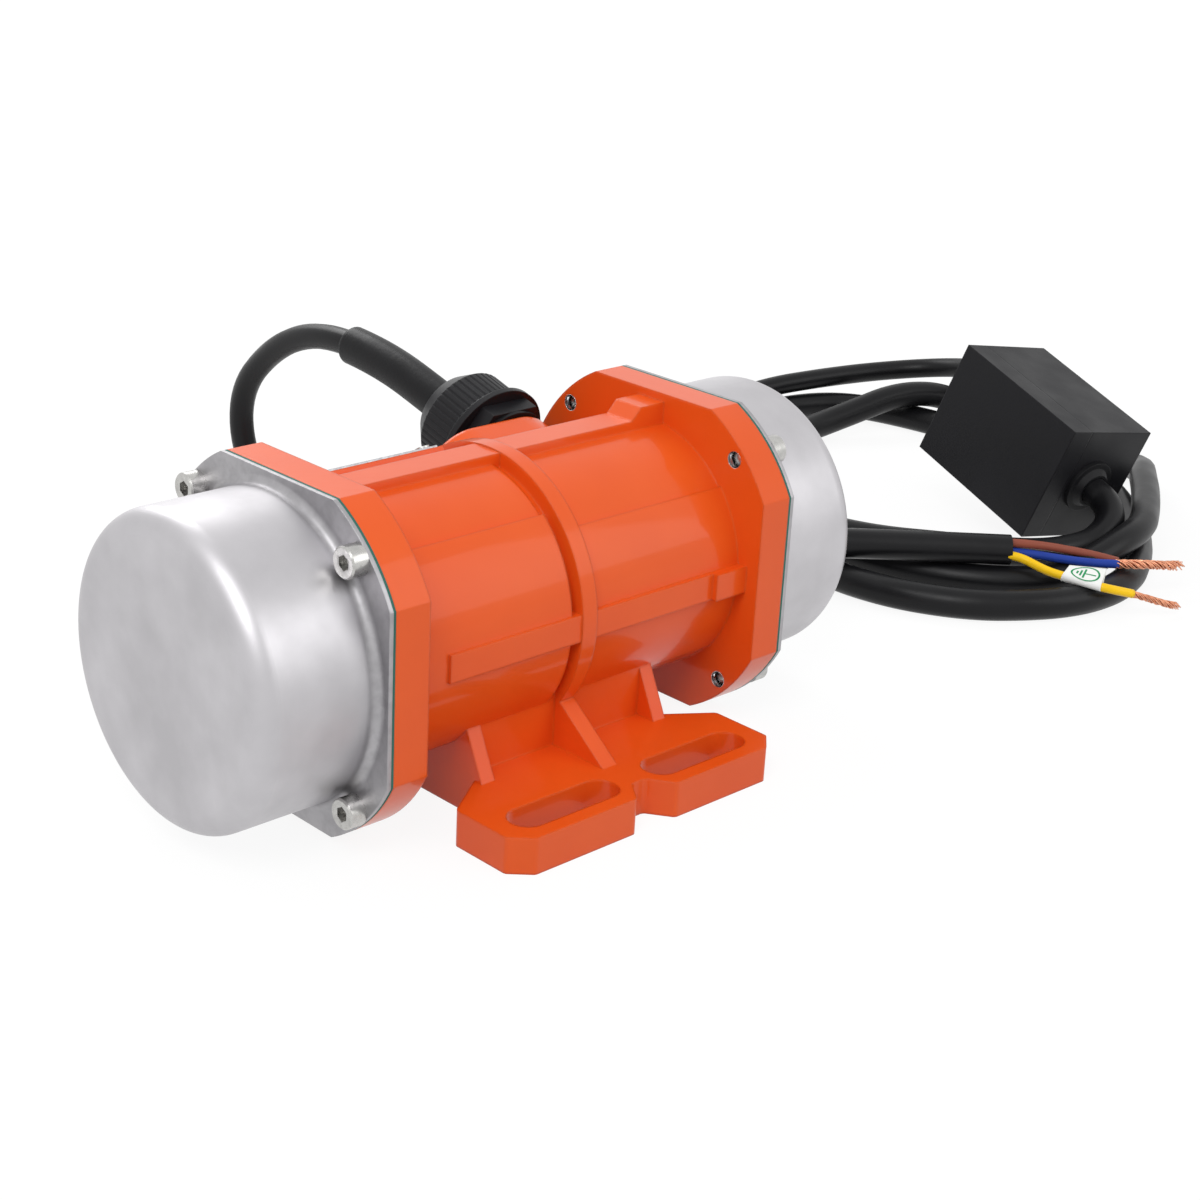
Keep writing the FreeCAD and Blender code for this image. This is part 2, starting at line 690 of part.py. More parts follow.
WEIGHT_START = HALF + s.spacer_reach
OUTER_WEIGHT_START = WEIGHT_START + s.weight_thickness + s.weight_gap
CLIP_START = OUTER_WEIGHT_START + s.weight_thickness + s.weight_gap / 2
SHAFT_END = HALF + s.shaft_end_reach
KEY_FLOOR = s.shaft_end_radius - s.key_seat_depth


def make_shaft():
    body = on_axis(new_body("shaft"))
    core_end = s.stator_length / 2 + s.end_ring_width
    steps = [(SHAFT_END, s.shaft_end_radius - s.shaft_chamfer),
             (SHAFT_END - s.shaft_chamfer, s.shaft_end_radius),
             (SEAT_START, s.shaft_end_radius), (SEAT_START, s.shaft_shoulder_radius),
             (core_end, s.shaft_shoulder_radius), (core_end, s.shaft_rotor_radius)]
    turned(body, "Revolution", (-SHAFT_END, 0), (SHAFT_END, 0), *steps,
           *[(-x, radius) for x, radius in reversed(steps)])
    sketch = new_sketch(body, "XZ")
    add_outline(sketch, *rectangle(CLIP_START, s.shaft_end_radius - s.clip_depth,
                                   CLIP_START + s.clip_thickness + s.clip_gap,
                                   s.shaft_shoulder_radius))
    mirrored(body, feature(body, "Groove", sketch))
    sketch = new_sketch(body, "XY", KEY_FLOOR)
    half_key = s.key_width / 2
    add_outline(sketch, *rectangle(WEIGHT_START, -half_key, WEIGHT_START + s.weight_thickness,
                                   half_key))
    mirrored(body, pocket(body, sketch, s.key_seat_depth, reverse=True))


def make_rotor_core():
    body = on_axis(new_body("rotor_core"))
    sketch = new_sketch(body, "YZ")
    add_circle(sketch, ORIGIN, s.rotor_radius)
    add_circle(sketch, ORIGIN, s.shaft_rotor_radius)
    pad(body, sketch, s.stator_length, both_ways=True)


def make_end_rings():
    body = on_axis(new_body("rotor_end_rings"))
    sketch = new_sketch(body, "YZ", s.stator_length / 2)
    add_circle(sketch, ORIGIN, s.rotor_radius - s.air_gap)
    add_circle(sketch, ORIGIN, s.shaft_rotor_radius)
    mirrored(body, pad(body, sketch, s.end_ring_width))


def make_spacers():
    body = on_axis(new_body("spacers"))
    mirrored(body, turned(body, "Revolution", *rectangle(SEAT_END, s.shaft_end_radius,
                                                         WEIGHT_START, s.spacer_radius)))


def add_weight(body, start, bore):
    """A half disc below the axis with a hub round the shaft."""
    disc, hub = s.weight_radius, s.weight_hub_radius
    sketch = new_sketch(body, "YZ", start)
    add_outline(sketch, (-disc, 0), bend(ORIGIN, disc), (disc, 0), (hub, 0),
                bend(ORIGIN, hub), (-hub, 0))
    add_circle(sketch, ORIGIN, bore)
    return pad(body, sketch, s.weight_thickness)


def make_inner_weight(side):
    body = for_side("inner_weight", side)
    add_weight(body, WEIGHT_START, s.shaft_end_radius)
    sketch = new_sketch(body, "YZ", WEIGHT_START)
    half_key = s.key_width / 2
    add_outline(sketch, *rectangle(-half_key, KEY_FLOOR, half_key, KEY_FLOOR + s.key_height))
    pocket(body, sketch, s.weight_thickness, reverse=True)


def make_keys():
    body = on_axis(new_body("weight_keys"))
    sketch = new_sketch(body, "YZ", WEIGHT_START)
    half_key = s.key_width / 2
    add_outline(sketch, *rectangle(-half_key, KEY_FLOOR, half_key, KEY_FLOOR + s.key_height))
    mirrored(body, pad(body, sketch, s.weight_thickness))


def make_outer_weight(side):
    body = for_side("outer_weight", side)
    add_weight(body, OUTER_WEIGHT_START, s.shaft_end_radius + s.weight_bore_clearance)
    sketch = new_sketch(body, "XY")
    add_circle(sketch, (OUTER_WEIGHT_START + s.weight_thickness / 2, 0), s.set_screw_radius)
    pocket(body, sketch, s.weight_hub_radius, reverse=True)


def make_set_screw(side):
    body = for_side("set_screw", side)
    tip = s.shaft_end_radius + s.weight_bore_clearance
    centre = (OUTER_WEIGHT_START + s.weight_thickness / 2, 0)
    sketch = new_sketch(body, "XY", tip)
    add_circle(sketch, centre, s.set_screw_radius)
    pad(body, sketch, s.set_screw_length)
    sketch = new_sketch(body, "XY", tip + s.set_screw_length)
    add_hexagon(sketch, s.set_screw_key, centre)
    pocket(body, sketch, s.set_screw_key)


def make_shaft_clips():
    body = on_axis(new_body("shaft_clips"))
    sketch = new_sketch(body, "YZ", CLIP_START)
    add_circle(sketch, ORIGIN, s.shaft_end_radius + s.clip_shoulder)
    add_circle(sketch, ORIGIN, s.shaft_end_radius - s.clip_depth)
    mirrored(body, pad(body, sketch, s.clip_thickness))


# ---------------------------------------------------------------- end covers

COVER_FACE = HALF + s.gasket_thickness
COVER_END = HALF + s.cover_length
COVER_INNER = s.cover_radius - s.cover_wall


def make_gasket(side):
    body = for_side("cover_gasket", side)
    sketch = new_sketch(body, "YZ", HALF)
    add_outline(sketch, *flange_outline())
    add_circle(sketch, ORIGIN, COVER_INNER)
    add_cover_holes(sketch, s.cover_hole_radius)
    pad(body, sketch, s.gasket_thickness)


def make_end_cover(side):
    """A deep-drawn cup with a flange plate, rounded at its end and at its root."""
    body = for_side("end_cover", side)
    sketch = new_sketch(body, "YZ", COVER_FACE)
    add_outline(sketch, *flange_outline())
    pad(body, sketch, s.cover_wall)
    plate = COVER_FACE + s.cover_wall
    outer, edge, foot = s.cover_radius, s.cover_edge_radius, s.cover_root_radius
    turned(body, "Revolution", (COVER_FACE, 0), (COVER_END, 0), (COVER_END, outer - edge),
           bend((COVER_END - edge, outer - edge), edge), (COVER_END - edge, outer),
           (plate + foot, outer), bend((plate + foot, outer + foot), foot, clockwise=True),
           (plate, outer + foot), (COVER_FACE, outer + foot))
    ceiling = COVER_END - s.cover_wall
    inside = edge - s.cover_wall
    turned(body, "Groove", (COVER_FACE, 0), (ceiling, 0), (ceiling, COVER_INNER - inside),
           bend((ceiling - inside, COVER_INNER - inside), inside),
           (ceiling - inside, COVER_INNER), (COVER_FACE, COVER_INNER))
    sketch = new_sketch(body, "YZ", plate)
    add_cover_holes(sketch, s.cover_hole_radius)
    pocket(body, sketch, s.cover_wall)


def make_cover_screws(side):
    """Four socket screws, each with a hexagon recess in its head."""
    body = for_side("cover_screws", side)
    seat = COVER_FACE + s.cover_wall
    sketch = new_sketch(body, "YZ", seat)
    add_cover_holes(sketch, s.cover_screw_radius)
    pad(body, sketch, s.cover_screw_length, reverse=True)
    sketch = new_sketch(body, "YZ", seat)
    add_cover_holes(sketch, s.cover_head_radius)
    pad(body, sketch, s.cover_head_height)
    sketch = new_sketch(body, "YZ", seat + s.cover_head_height)
    for across, up in CORNERS:
        add_hexagon(sketch, s.hex_key, (across * SCREW_REACH, up * SCREW_REACH))
    pocket(body, sketch, s.hex_key_depth)


# ---------------------------------------------------------------- name plate and gland

def tilted(body, tilt, height, station, rise=0):
    """Stand a body's Z axis out of the barrel at a tilt above the horizontal."""
    turn = tilt - 90
    rise = as_size(rise)
    return place(body, station, height * cosine(tilt) - rise * sine(tilt),
                 s.axis_height + height * sine(tilt) + rise * cosine(tilt),
                 Rotation(X_AXIS, turn.value), turn)


def make_name_plate():
    body = tilted(new_body("name_plate"), s.plate_tilt, s.plate_seat_height, PLATE_STATION)
    half_x, half_y = s.plate_length / 2, s.plate_width / 2
    sketch = new_sketch(body, "XY")
    add_outline(sketch, *rectangle(-half_x, -half_y, half_x, half_y))
    pad(body, sketch, s.plate_thickness)
    sketch = new_sketch(body, "XY")
    add_rivet_circles(sketch, s.rivet_radius)
    pocket(body, sketch, s.plate_thickness, reverse=True)


def add_rivet_circles(sketch, radius):
    for across, up in CORNERS:
        add_circle(sketch, (across * (s.plate_length / 2 - s.rivet_inset),
                            up * (s.plate_width / 2 - s.rivet_inset)), radius)


def make_rivets():
    body = tilted(new_body("plate_rivets"), s.plate_tilt, s.plate_seat_height, PLATE_STATION)
    sketch = new_sketch(body, "XY")
    add_rivet_circles(sketch, s.rivet_radius)
    pad(body, sketch, s.plate_thickness)
    sketch = new_sketch(body, "XY", s.plate_thickness)
    add_rivet_circles(sketch, s.rivet_radius + s.rivet_head)
    pad(body, sketch, s.rivet_head)


def on_gland(name, height=0):
    """A new body with its Z axis on the gland's axis, at a height above the boss."""
    return tilted(new_body(name), s.gland_tilt, s.boss_height + height, GLAND_STATION,
                  s.gland_rise)


HEX_TOP = s.gland_washer_thickness + s.gland_hex_height
DOME_BASE = HEX_TOP + s.gland_cap_length
DOME_TOP = DOME_BASE + s.gland_dome_height
NOSE_TOP = HEX_TOP + s.gland_nose_length


def make_gland_washer():
    body = on_gland("gland_washer")
    sketch = new_sketch(body, "XY")
    add_circle(sketch, ORIGIN, s.gland_hex / 2)
    add_circle(sketch, ORIGIN, s.gland_thread_radius)
    pad(body, sketch, s.gland_washer_thickness)


def make_gland_body():
    """The threaded stem, the hexagon and the nose that the cap screws on to."""
    body = on_gland("gland_body")
    base = s.gland_washer_thickness
    thread, bore, nose = s.gland_thread_radius, s.cable_bore_radius, s.gland_nose_radius
    turned(body, "Revolution", (bore, -s.gland_thread_length), (thread, -s.gland_thread_length),
           (thread, base), (nose, base), (nose, NOSE_TOP), (s.gland_nose_bore, NOSE_TOP),
           (s.gland_nose_bore, HEX_TOP), (bore, HEX_TOP), axis="V_Axis")
    sketch = new_sketch(body, "XY", base)
    add_hexagon(sketch, s.gland_hex)
    add_circle(sketch, ORIGIN, bore)
    pad(body, sketch, s.gland_hex_height)


def make_gland_seal():
    body = on_gland("gland_seal", HEX_TOP)
    sketch = new_sketch(body, "XY")
    add_circle(sketch, ORIGIN, s.gland_nose_bore)
    add_circle(sketch, ORIGIN, s.sleeve_radius)
    pad(body, sketch, s.gland_nose_length)


def make_gland_cap():
    """The fluted cap: a dome with the cable's mouth, over a bore that fits the nose."""
    body = on_gland("gland_cap")
    grip, rim, mouth = s.gland_cap_radius, s.gland_rim_radius, s.gland_mouth_radius
    crown = mouth + s.gland_cap_wall
    nose = s.gland_nose_radius
    rim_top, ceiling = HEX_TOP + s.gland_rim_height, NOSE_TOP + s.gland_cap_wall
    turned(body, "Revolution", (nose, HEX_TOP), (rim, HEX_TOP), (rim, rim_top),
           (grip, rim_top + s.gland_rim_height), (grip, DOME_BASE),
           (crown + s.gland_cap_wall, DOME_TOP - s.gland_rim_height), (crown, DOME_TOP),
           (mouth, DOME_TOP), (mouth, ceiling), (nose, ceiling), axis="V_Axis")
    flute = s.flute_radius
    sketch = new_sketch(body, "XY", rim_top)
    add_circle(sketch, (0, grip + flute / 2), flute)
    polar(body, pocket(body, sketch, s.gland_cap_length, reverse=True), s.flute_count, "Z_Axis")


# ---------------------------------------------------------------- capacitor box

BOX_TURN = Rotation(s.box_yaw.value, s.box_pitch.value, s.box_roll.value)
BOX_LIFT = (s.box_depth / 2 * sine(s.box_pitch)
            + s.box_length / 2 * cosine(s.box_pitch) * sine(s.box_roll)
            + s.box_height / 2 * cosine(s.box_pitch) * cosine(s.box_roll))


def in_box(name, x=0, z=0):
    """A new body in the box's own frame: X into the box, +Y to the inlet, Z up its side."""
    middle = Vector(s.box_x.value, s.box_y.value, BOX_LIFT.value)
    shift = BOX_TURN.multVec(Vector(as_size(x).value, 0, as_size(z).value))
    return place(new_body(name), *(middle + shift), BOX_TURN)


def box_point(x, y, z):
    place_of_box = Placement(Vector(s.box_x.value, s.box_y.value, BOX_LIFT.value), BOX_TURN)
    return place_of_box.multVec(Vector(x, y, z))


def add_tray(body, start, stop, mouth, floor):
    """A block between start and stop along X, hollowed from its mouth to its floor."""
    half_y, half_z = s.box_length / 2, s.box_height / 2
    sketch = new_sketch(body, "YZ", start)
    add_outline(sketch, *rectangle(-half_y, -half_z, half_y, half_z))
    pad(body, sketch, stop - start)
    half_y, half_z = half_y - s.box_wall, half_z - s.box_wall
    sketch = new_sketch(body, "YZ", mouth)
    add_outline(sketch, *rectangle(-half_y, -half_z, half_y, half_z))
    reverse = floor.value > mouth.value
    pocket(body, sketch, floor - mouth if reverse else mouth - floor, reverse=reverse)


def make_box_body():
    body = in_box("box_body")
    seam = s.box_lid_depth - s.box_depth / 2
    back = s.box_depth / 2
    add_tray(body, seam, back, seam, back - s.box_wall)
    for hole, outward in (((s.inlet_inset, -s.inlet_drop), False), (ORIGIN, True)):
        sketch = new_sketch(body, "XZ")
        add_circle(sketch, hole, s.grommet_neck_radius)
        pocket(body, sketch, s.box_length, reverse=outward)


def make_box_lid():
    body = in_box("box_lid")
    front = -s.box_depth / 2
    seam = front + s.box_lid_depth
    add_tray(body, front, seam, seam, front + s.box_wall)


def make_capacitor():
    body = in_box("capacitor")
    sketch = new_sketch(body, "XZ")
    seat = s.box_depth / 2 - s.box_wall - s.capacitor_radius
    add_circle(sketch, (seat, 0), s.capacitor_radius)
    pad(body, sketch, s.capacitor_length, both_ways=True)


def make_grommet(name, way, cable, inset=0, drop=0):
    """A rubber grommet in the box's end wall, with its nose along the cable."""
    body = in_box(name, inset, -drop)
    wall = way * s.box_length / 2
    inside = wall - way * s.box_wall
    flange = wall + way * s.grommet_flange
    nose = flange + way * s.grommet_nose
    turned(body, "Revolution", (cable, inside), (s.grommet_neck_radius, inside),
           (s.grommet_neck_radius, wall), (s.grommet_flange_radius, wall),
           (s.grommet_flange_radius, flange), (s.grommet_nose_radius, flange),
           (cable + s.box_wall / 2, nose), (cable, nose), plane="XY", axis="V_Axis")


# ---------------------------------------------------------------- cords

RUN_SHARE = 0.45
VOLUME_SHARE = 0.001


def cord_edges(points, closed=False):
    """Straight runs between points joined by tangent arcs; prints each arc's radius."""
    corners = [Vector(*point) for point in points]
    count = len(corners)
    arcs = []
    for number, corner in enumerate(corners):
        if not closed and number in (0, count - 1):
            continue
        before = corners[number - 1]
        after = corners[(number + 1) % count]
        arrive = (corner - before).normalize()
        leave = (after - corner).normalize()
        setback = RUN_SHARE * min((corner - before).Length, (after - corner).Length)
        half_turn = arrive.getAngle(leave) / 2
        radius = setback / math.tan(half_turn)
        inward = (leave - arrive).normalize()
        middle = corner + inward * (radius / math.cos(half_turn) - radius)
        arcs.append((corner - arrive * setback, middle, corner + leave * setback, radius))
    print("radii", [round(arc[3], 1) for arc in arcs])
    edges = []
    at = arcs[-1][2] if closed else corners[0]
    for start, middle, stop, _ in arcs:
        edges.append(Part.LineSegment(at, start).toShape())
        edges.append(Part.Arc(start, middle, stop).toShape())
        at = stop
    if not closed:
        edges.append(Part.LineSegment(at, corners[-1]).toShape())
    return edges


def tube(edges, radius):
    path = Part.Wire(edges)
    start = edges[0].Vertexes[0].Point
    along = edges[0].tangentAt(edges[0].FirstParameter)
    ring = Part.Wire(Part.Circle(start, along, radius).toShape())
    solid = path.makePipeShell([ring], True, True)
    expected = math.pi * radius ** 2 * path.Length
    if abs(solid.Volume / expected - 1) > VOLUME_SHARE:
        raise RuntimeError("a tube's volume is not its section times its length")
    return solid


def gland_point(height):
    """A point on the gland's axis at a height above the boss's face."""
    reach = (s.boss_height + height).value
    tilt = math.radians(s.gland_tilt.value)
    rise = s.gland_rise.value
    return (GLAND_STATION.value, reach * math.cos(tilt) - rise * math.sin(tilt),
            s.axis_height.value + reach * math.sin(tilt) + rise * math.cos(tilt))


def at_inlet(reach):
    """A point on the line through the box's inlet."""
    return tuple(box_point(s.inlet_inset.value, reach, -s.inlet_drop.value))


def make_motor_cable():
    """From the gland down behind the motor, over the coil and into the box's inlet."""
    floor = s.motor_cable_radius.value
    inlet = (s.box_length / 2 - s.box_wall).value
    straight = s.cable_straight.value
    side = GLAND_STATION.value
    route = [gland_point(HEX_TOP.value), gland_point(HEX_TOP.value + straight),
             (side, 77, 70.2), (side, 103, 71.6), (side, 124, 63.5), (side, 142, 46),
             (side + 2, 142, 24), (side + 12, 137, 8),
             (64, 136, floor), (96, 143, floor), (134, 151, floor), (174, 156, floor),
             (208, 154, floor), (230, 150.5, 8), (250, 142, 13.2), (272, 132, 13.6),
             (294, 124, 14.4), (309, 108, 17), (307, 89, 21.5), (294, 74, 25.5),
             (273, 66.5, 28.5), at_inlet(inlet + straight), at_inlet(inlet)]
    edges = cord_edges(route)
    cable = tube(edges, floor)
    sleeve_edges = edges[:5]
    sleeve = tube(sleeve_edges, s.sleeve_radius.value).cut(tube(sleeve_edges, floor))
    shaped("motor_cable", cable)
    shaped("cable_sleeve", sleeve)


def make_supply_cable():
    """The lead out of the box, the loose coil round it and the stripped tail on top."""
    radius = s.supply_cable_radius.value
    outlet = (s.box_wall - s.box_length / 2).value
    straight = s.lead_straight.value
    lead = [tuple(box_point(0, outlet, 0)), tuple(box_point(0, outlet - straight, 0)),
            (223, -28, 11), (211, -25, 5.5), (199, -11, radius), (188, 5, radius),
            (180, 22, radius), (168, 34, radius)]
    shaped("supply_lead", tube(cord_edges(lead), radius))
    centre_line = [(152, 20), (163, -14), (190, -31), (225, -33), (259, -19), (288, 8),
                   (304, 50), (300, 94), (272, 120), (228, 128), (183, 110), (156, 66)]
    shaped("supply_coil", coil(centre_line, s.coil_width.value, 2 * radius))
    on_top = 3 * radius + s.strand_gap.value
    tail = [(156, 70, radius), (152, 96, radius), (128, 112, radius), (98, 106, radius),
            (82, 82, radius), (88, 54, radius), (110, 36, 5), (131, 26, 9),
            (151, 16, on_top), (168, -1.5, on_top), (181.5, -18.2, on_top)]
    shaped("supply_tail", tube(cord_edges(tail), radius))


def coil(centre_line, width, height):
    """A flat closed ring: the outer shape of the strands that lie side by side."""
    path = Part.Wire(cord_edges([(x, y, height / 2) for x, y in centre_line], closed=True))
    start = path.Edges[0].Vertexes[0].Point
    along = path.Edges[0].tangentAt(path.Edges[0].FirstParameter)
    side = along.cross(Z_AXIS) * (width - height) / 2
    up = Z_AXIS * height / 2
    out = along.cross(Z_AXIS) * height / 2
    section = Part.Wire([
        Part.LineSegment(start - side - up, start + side - up).toShape(),
        Part.Arc(start + side - up, start + side + out, start + side + up).toShape(),
        Part.LineSegment(start + side + up, start - side + up).toShape(),
        Part.Arc(start - side + up, start - side - out, start - side - up).toShape()])
    return path.makePipeShell([section], True, True)


def make_cores():
    """The bare ends: three insulated cores and the twisted strands of two of them."""
    core, strand = s.core_radius.value, s.strand_radius.value
    for name, radius, route in (
            ("brown_wire", core, [(182.5, -17.8, 14.7), (185, -20.9, 14.6), (190.6, -24.5, 13.6),
                                  (197.6, -30.4, 11.7), (206.2, -34.8, 10.2)]),
            ("blue_wire", core, [(182, -18.2, 12.3), (184.5, -21.3, 12.1), (188.8, -26.5, 11.5),
                                 (196.6, -33.4, 10.2), (205.5, -39.3, 9.9)]),
            ("yellow_wire", core, [(180.2, -19.6, 13.1), (182.1, -22, 12.8),
                                   (183.8, -28.5, 10.9), (183.2, -38.6, 9.85),
                                   (186.6, -47.6, 9.3), (192.4, -53.6, 7.2)]),
            ("live_copper", strand, [(205.75, -39.47, 9.89), (212.4, -43.9, 10.3),
                                     (218.4, -46.4, 10), (225, -50, 8.4)]),
            ("earth_copper", strand, [(192.6, -53.81, 7.13), (199.4, -59, 5),
                                      (206.3, -61.8, 3)])):
        shaped(name, tube(cord_edges(route), radius))


def make_tag():
    body = place(new_body("earth_tag"), s.tag_x, s.tag_y, s.tag_lift)
    sketch = new_sketch(body, "XY")
    half_x, half_y = s.tag_length / 2, s.tag_width / 2
    add_outline(sketch, *rectangle(-half_x, -half_y, half_x, half_y))
    pad(body, sketch, s.tag_thickness)


make_housing()
make_stator()
for side in SIDES:
    make_windings(side)
    make_end_shield(side)
    make_shield_screws(side)
    make_ring("bearing_outer_ring", side, s.bearing_outer, s.bearing_outer_land)
    make_ring("bearing_inner_ring", side, s.shaft_end_radius, s.bearing_inner_land)
    make_cage(side)
    make_balls(side)
    make_gasket(side)
    make_end_cover(side)
    make_cover_screws(side)
    make_inner_weight(side)
    make_outer_weight(side)
    make_set_screw(side)
make_shield_clips()
make_end_rings()
make_spacers()
make_keys()
make_shaft_clips()
make_shaft()
make_rotor_core()
make_name_plate()
make_rivets()
make_gland_washer()
make_gland_body()
make_gland_seal()
make_gland_cap()
make_box_body()
make_box_lid()
make_capacitor()
make_grommet("box_inlet_grommet", 1, s.motor_cable_radius, s.inlet_inset, s.inlet_drop)
make_grommet("box_outlet_grommet", -1, s.supply_cable_radius)
make_motor_cable()
make_supply_cable()
make_cores()
make_tag()

document.recompute()
for item in document.Objects:
    if {"Invalid", "Error"} & set(item.State):
        raise RuntimeError(f"{item.Name} of {item.getParentGeoFeatureGroup()} failed: {item.State}")
os.makedirs("parts", exist_ok=True)
for item in parts:
    if item.Shape.isNull() or not item.Shape.isValid():
        raise RuntimeError(f"{item.Label} has no valid shape")
    item.Shape.exportStep(f"parts/{item.Label}.step")
    print(item.Label, len(item.Shape.Solids), round(item.Shape.Volume, 1))
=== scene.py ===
"""Finishes, leads and stage for a foot-mounted vibration motor with a capacitor box.

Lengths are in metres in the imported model's frame: X along the shaft, +Y to the gland's side
and Z up from the foot's mounting face.
"""

import itertools
import json
import math

import bmesh
import bpy
from mathutils import Matrix, Vector

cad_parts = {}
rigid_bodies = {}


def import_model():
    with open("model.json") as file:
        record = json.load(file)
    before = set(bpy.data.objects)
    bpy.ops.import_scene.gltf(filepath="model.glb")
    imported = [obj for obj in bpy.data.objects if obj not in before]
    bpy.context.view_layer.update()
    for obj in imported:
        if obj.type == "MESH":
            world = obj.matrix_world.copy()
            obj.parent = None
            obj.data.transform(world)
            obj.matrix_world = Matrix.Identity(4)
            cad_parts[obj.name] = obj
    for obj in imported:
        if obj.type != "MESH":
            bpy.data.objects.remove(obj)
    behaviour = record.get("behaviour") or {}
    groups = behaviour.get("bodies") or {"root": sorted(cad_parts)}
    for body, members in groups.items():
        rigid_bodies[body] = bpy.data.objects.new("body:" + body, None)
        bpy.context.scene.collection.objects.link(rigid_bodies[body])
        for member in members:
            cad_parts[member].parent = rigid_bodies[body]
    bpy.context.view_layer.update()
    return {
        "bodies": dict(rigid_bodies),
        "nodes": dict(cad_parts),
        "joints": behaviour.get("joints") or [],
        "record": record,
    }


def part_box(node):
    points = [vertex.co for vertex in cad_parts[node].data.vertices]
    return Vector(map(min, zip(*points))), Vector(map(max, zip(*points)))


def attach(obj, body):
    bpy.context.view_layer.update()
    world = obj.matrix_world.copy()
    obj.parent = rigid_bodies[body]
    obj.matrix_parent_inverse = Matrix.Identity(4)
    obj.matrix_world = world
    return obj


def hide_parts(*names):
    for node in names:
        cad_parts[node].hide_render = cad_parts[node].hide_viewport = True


bl_info = {
    "name": "Vibration motor finishes",
    "version": (1, 0, 0),
    "blender": (4, 5, 0),
    "location": "3D View > Sidebar > Motor",
    "description": "Materials, leads, fasteners and stage for a vibration motor",
    "category": "Object",
}

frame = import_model()
NODES = frame["nodes"]
MM = 0.001
ROOT = "frame"
SIDES = ("left", "right")


def middle_of(node):
    low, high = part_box(node)
    return (low + high) / 2


AXIS_HEIGHT = middle_of("shaft").z
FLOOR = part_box("housing")[0].z
FLANGE_THICKNESS = 9 * MM


# ---------------------------------------------------------------- settings

def linear(text):
    """The linear colour of an sRGB hex value."""
    channels = [int(text[start:start + 2], 16) / 255 for start in (1, 3, 5)]
    return tuple(c / 12.92 if c <= 0.04045 else ((c + 0.055) / 1.055) ** 2.4 for c in channels)


def colour(name, description, value):
    return bpy.props.FloatVectorProperty(name=name, description=description, subtype="COLOR",
                                         size=3, min=0, max=1, default=linear(value))


def length(name, description, millimetres):
    return bpy.props.FloatProperty(name=name, description=description, unit="LENGTH",
                                   subtype="DISTANCE", default=millimetres * MM, precision=5)


def angle(name, description, degrees):
    return bpy.props.FloatProperty(name=name, description=description, subtype="ANGLE",
                                   default=math.radians(degrees))


class FinishColours(bpy.types.PropertyGroup):
    """Colours of the motor's finishes."""

    enamel: colour("Enamel", "Gloss enamel on the casting", "#E85D1D")
    enamel_shade: colour("Enamel shade", "Enamel where it lies thicker", "#DD5113")
    stainless: colour("Stainless", "Deep-drawn stainless covers", "#C6C4C7")
    zinc: colour("Zinc plate", "Plated screws and rivets", "#C4C3C0")
    gasket: colour("Gasket sheet", "Green jointing sheet", "#2F6258")
    nylon: colour("Nylon", "Moulded cable gland", "#141417")
    rubber: colour("Rubber", "Grommets and seals", "#121214")
    jacket: colour("Cable jacket", "Rubber jacket of both leads", "#101012")
    box: colour("Box plastic", "Moulded ABS of the capacitor box", "#151518")
    brown: colour("Brown core", "Live core's PVC", "#8A4A3A")
    blue: colour("Blue core", "Neutral core's PVC", "#1F3C96")
    yellow: colour("Yellow core", "Earth core's PVC", "#F5C518")
    copper: colour("Copper", "Bare copper strands", "#E8A482")
    label: colour("Label", "Wrap-round paper label", "#F1F2EF")
    sign: colour("Earth sign", "Printed earth sign", "#1F8A55")


class LeadSizes(bpy.types.PropertyGroup):
    """Sizes of the two leads and of the bare ends."""

    motor_radius: length("Motor lead radius", "Half the motor lead's diameter", 3.4)
    supply_radius: length("Supply lead radius", "Half the supply lead's diameter", 4.35)
    sleeve_radius: length("Sleeve radius", "Half the bend sleeve's diameter", 5.1)
    core_radius: length("Core radius", "Half an insulated core's diameter", 1.25)
    live_strand: length("Live strand radius", "Half a live copper strand's diameter", 0.2)
    earth_strand: length("Earth strand radius", "Half an earth copper strand's diameter", 0.15)
    strand_pitch: length("Strand pitch", "Length of one twist of the bare strands", 11)
    strand_count: bpy.props.IntProperty(name="Strands", description="Strands in a bare end",
                                        default=26, min=3, max=60)


class ScrewSizes(bpy.types.PropertyGroup):
    """Sizes of the socket screws that hold the end covers."""

    head_radius: length("Head radius", "Half the head's diameter", 3.5)
    head_height: length("Head height", "Height of the head", 4)
    edge: length("Head edge", "Chamfer round the top of the head", 0.35)
    shank_radius: length("Shank radius", "Half the thread's outer diameter", 1.9)
    shank_length: length("Shank length", "From under the head to the tip", 8.6)
    pitch: length("Pitch", "Pitch of the thread", 0.7)
    key: length("Key size", "Width across the socket's flats", 3)
    key_depth: length("Key depth", "Depth of the socket", 2.2)
    hole_radius: length("Hole radius", "Half the tapped hole's diameter", 1.95)
    circle: length("Screw circle", "Diameter of the circle through the screws", 78.9)
    count: bpy.props.IntProperty(name="Screws", description="Screws in a cover", default=4)


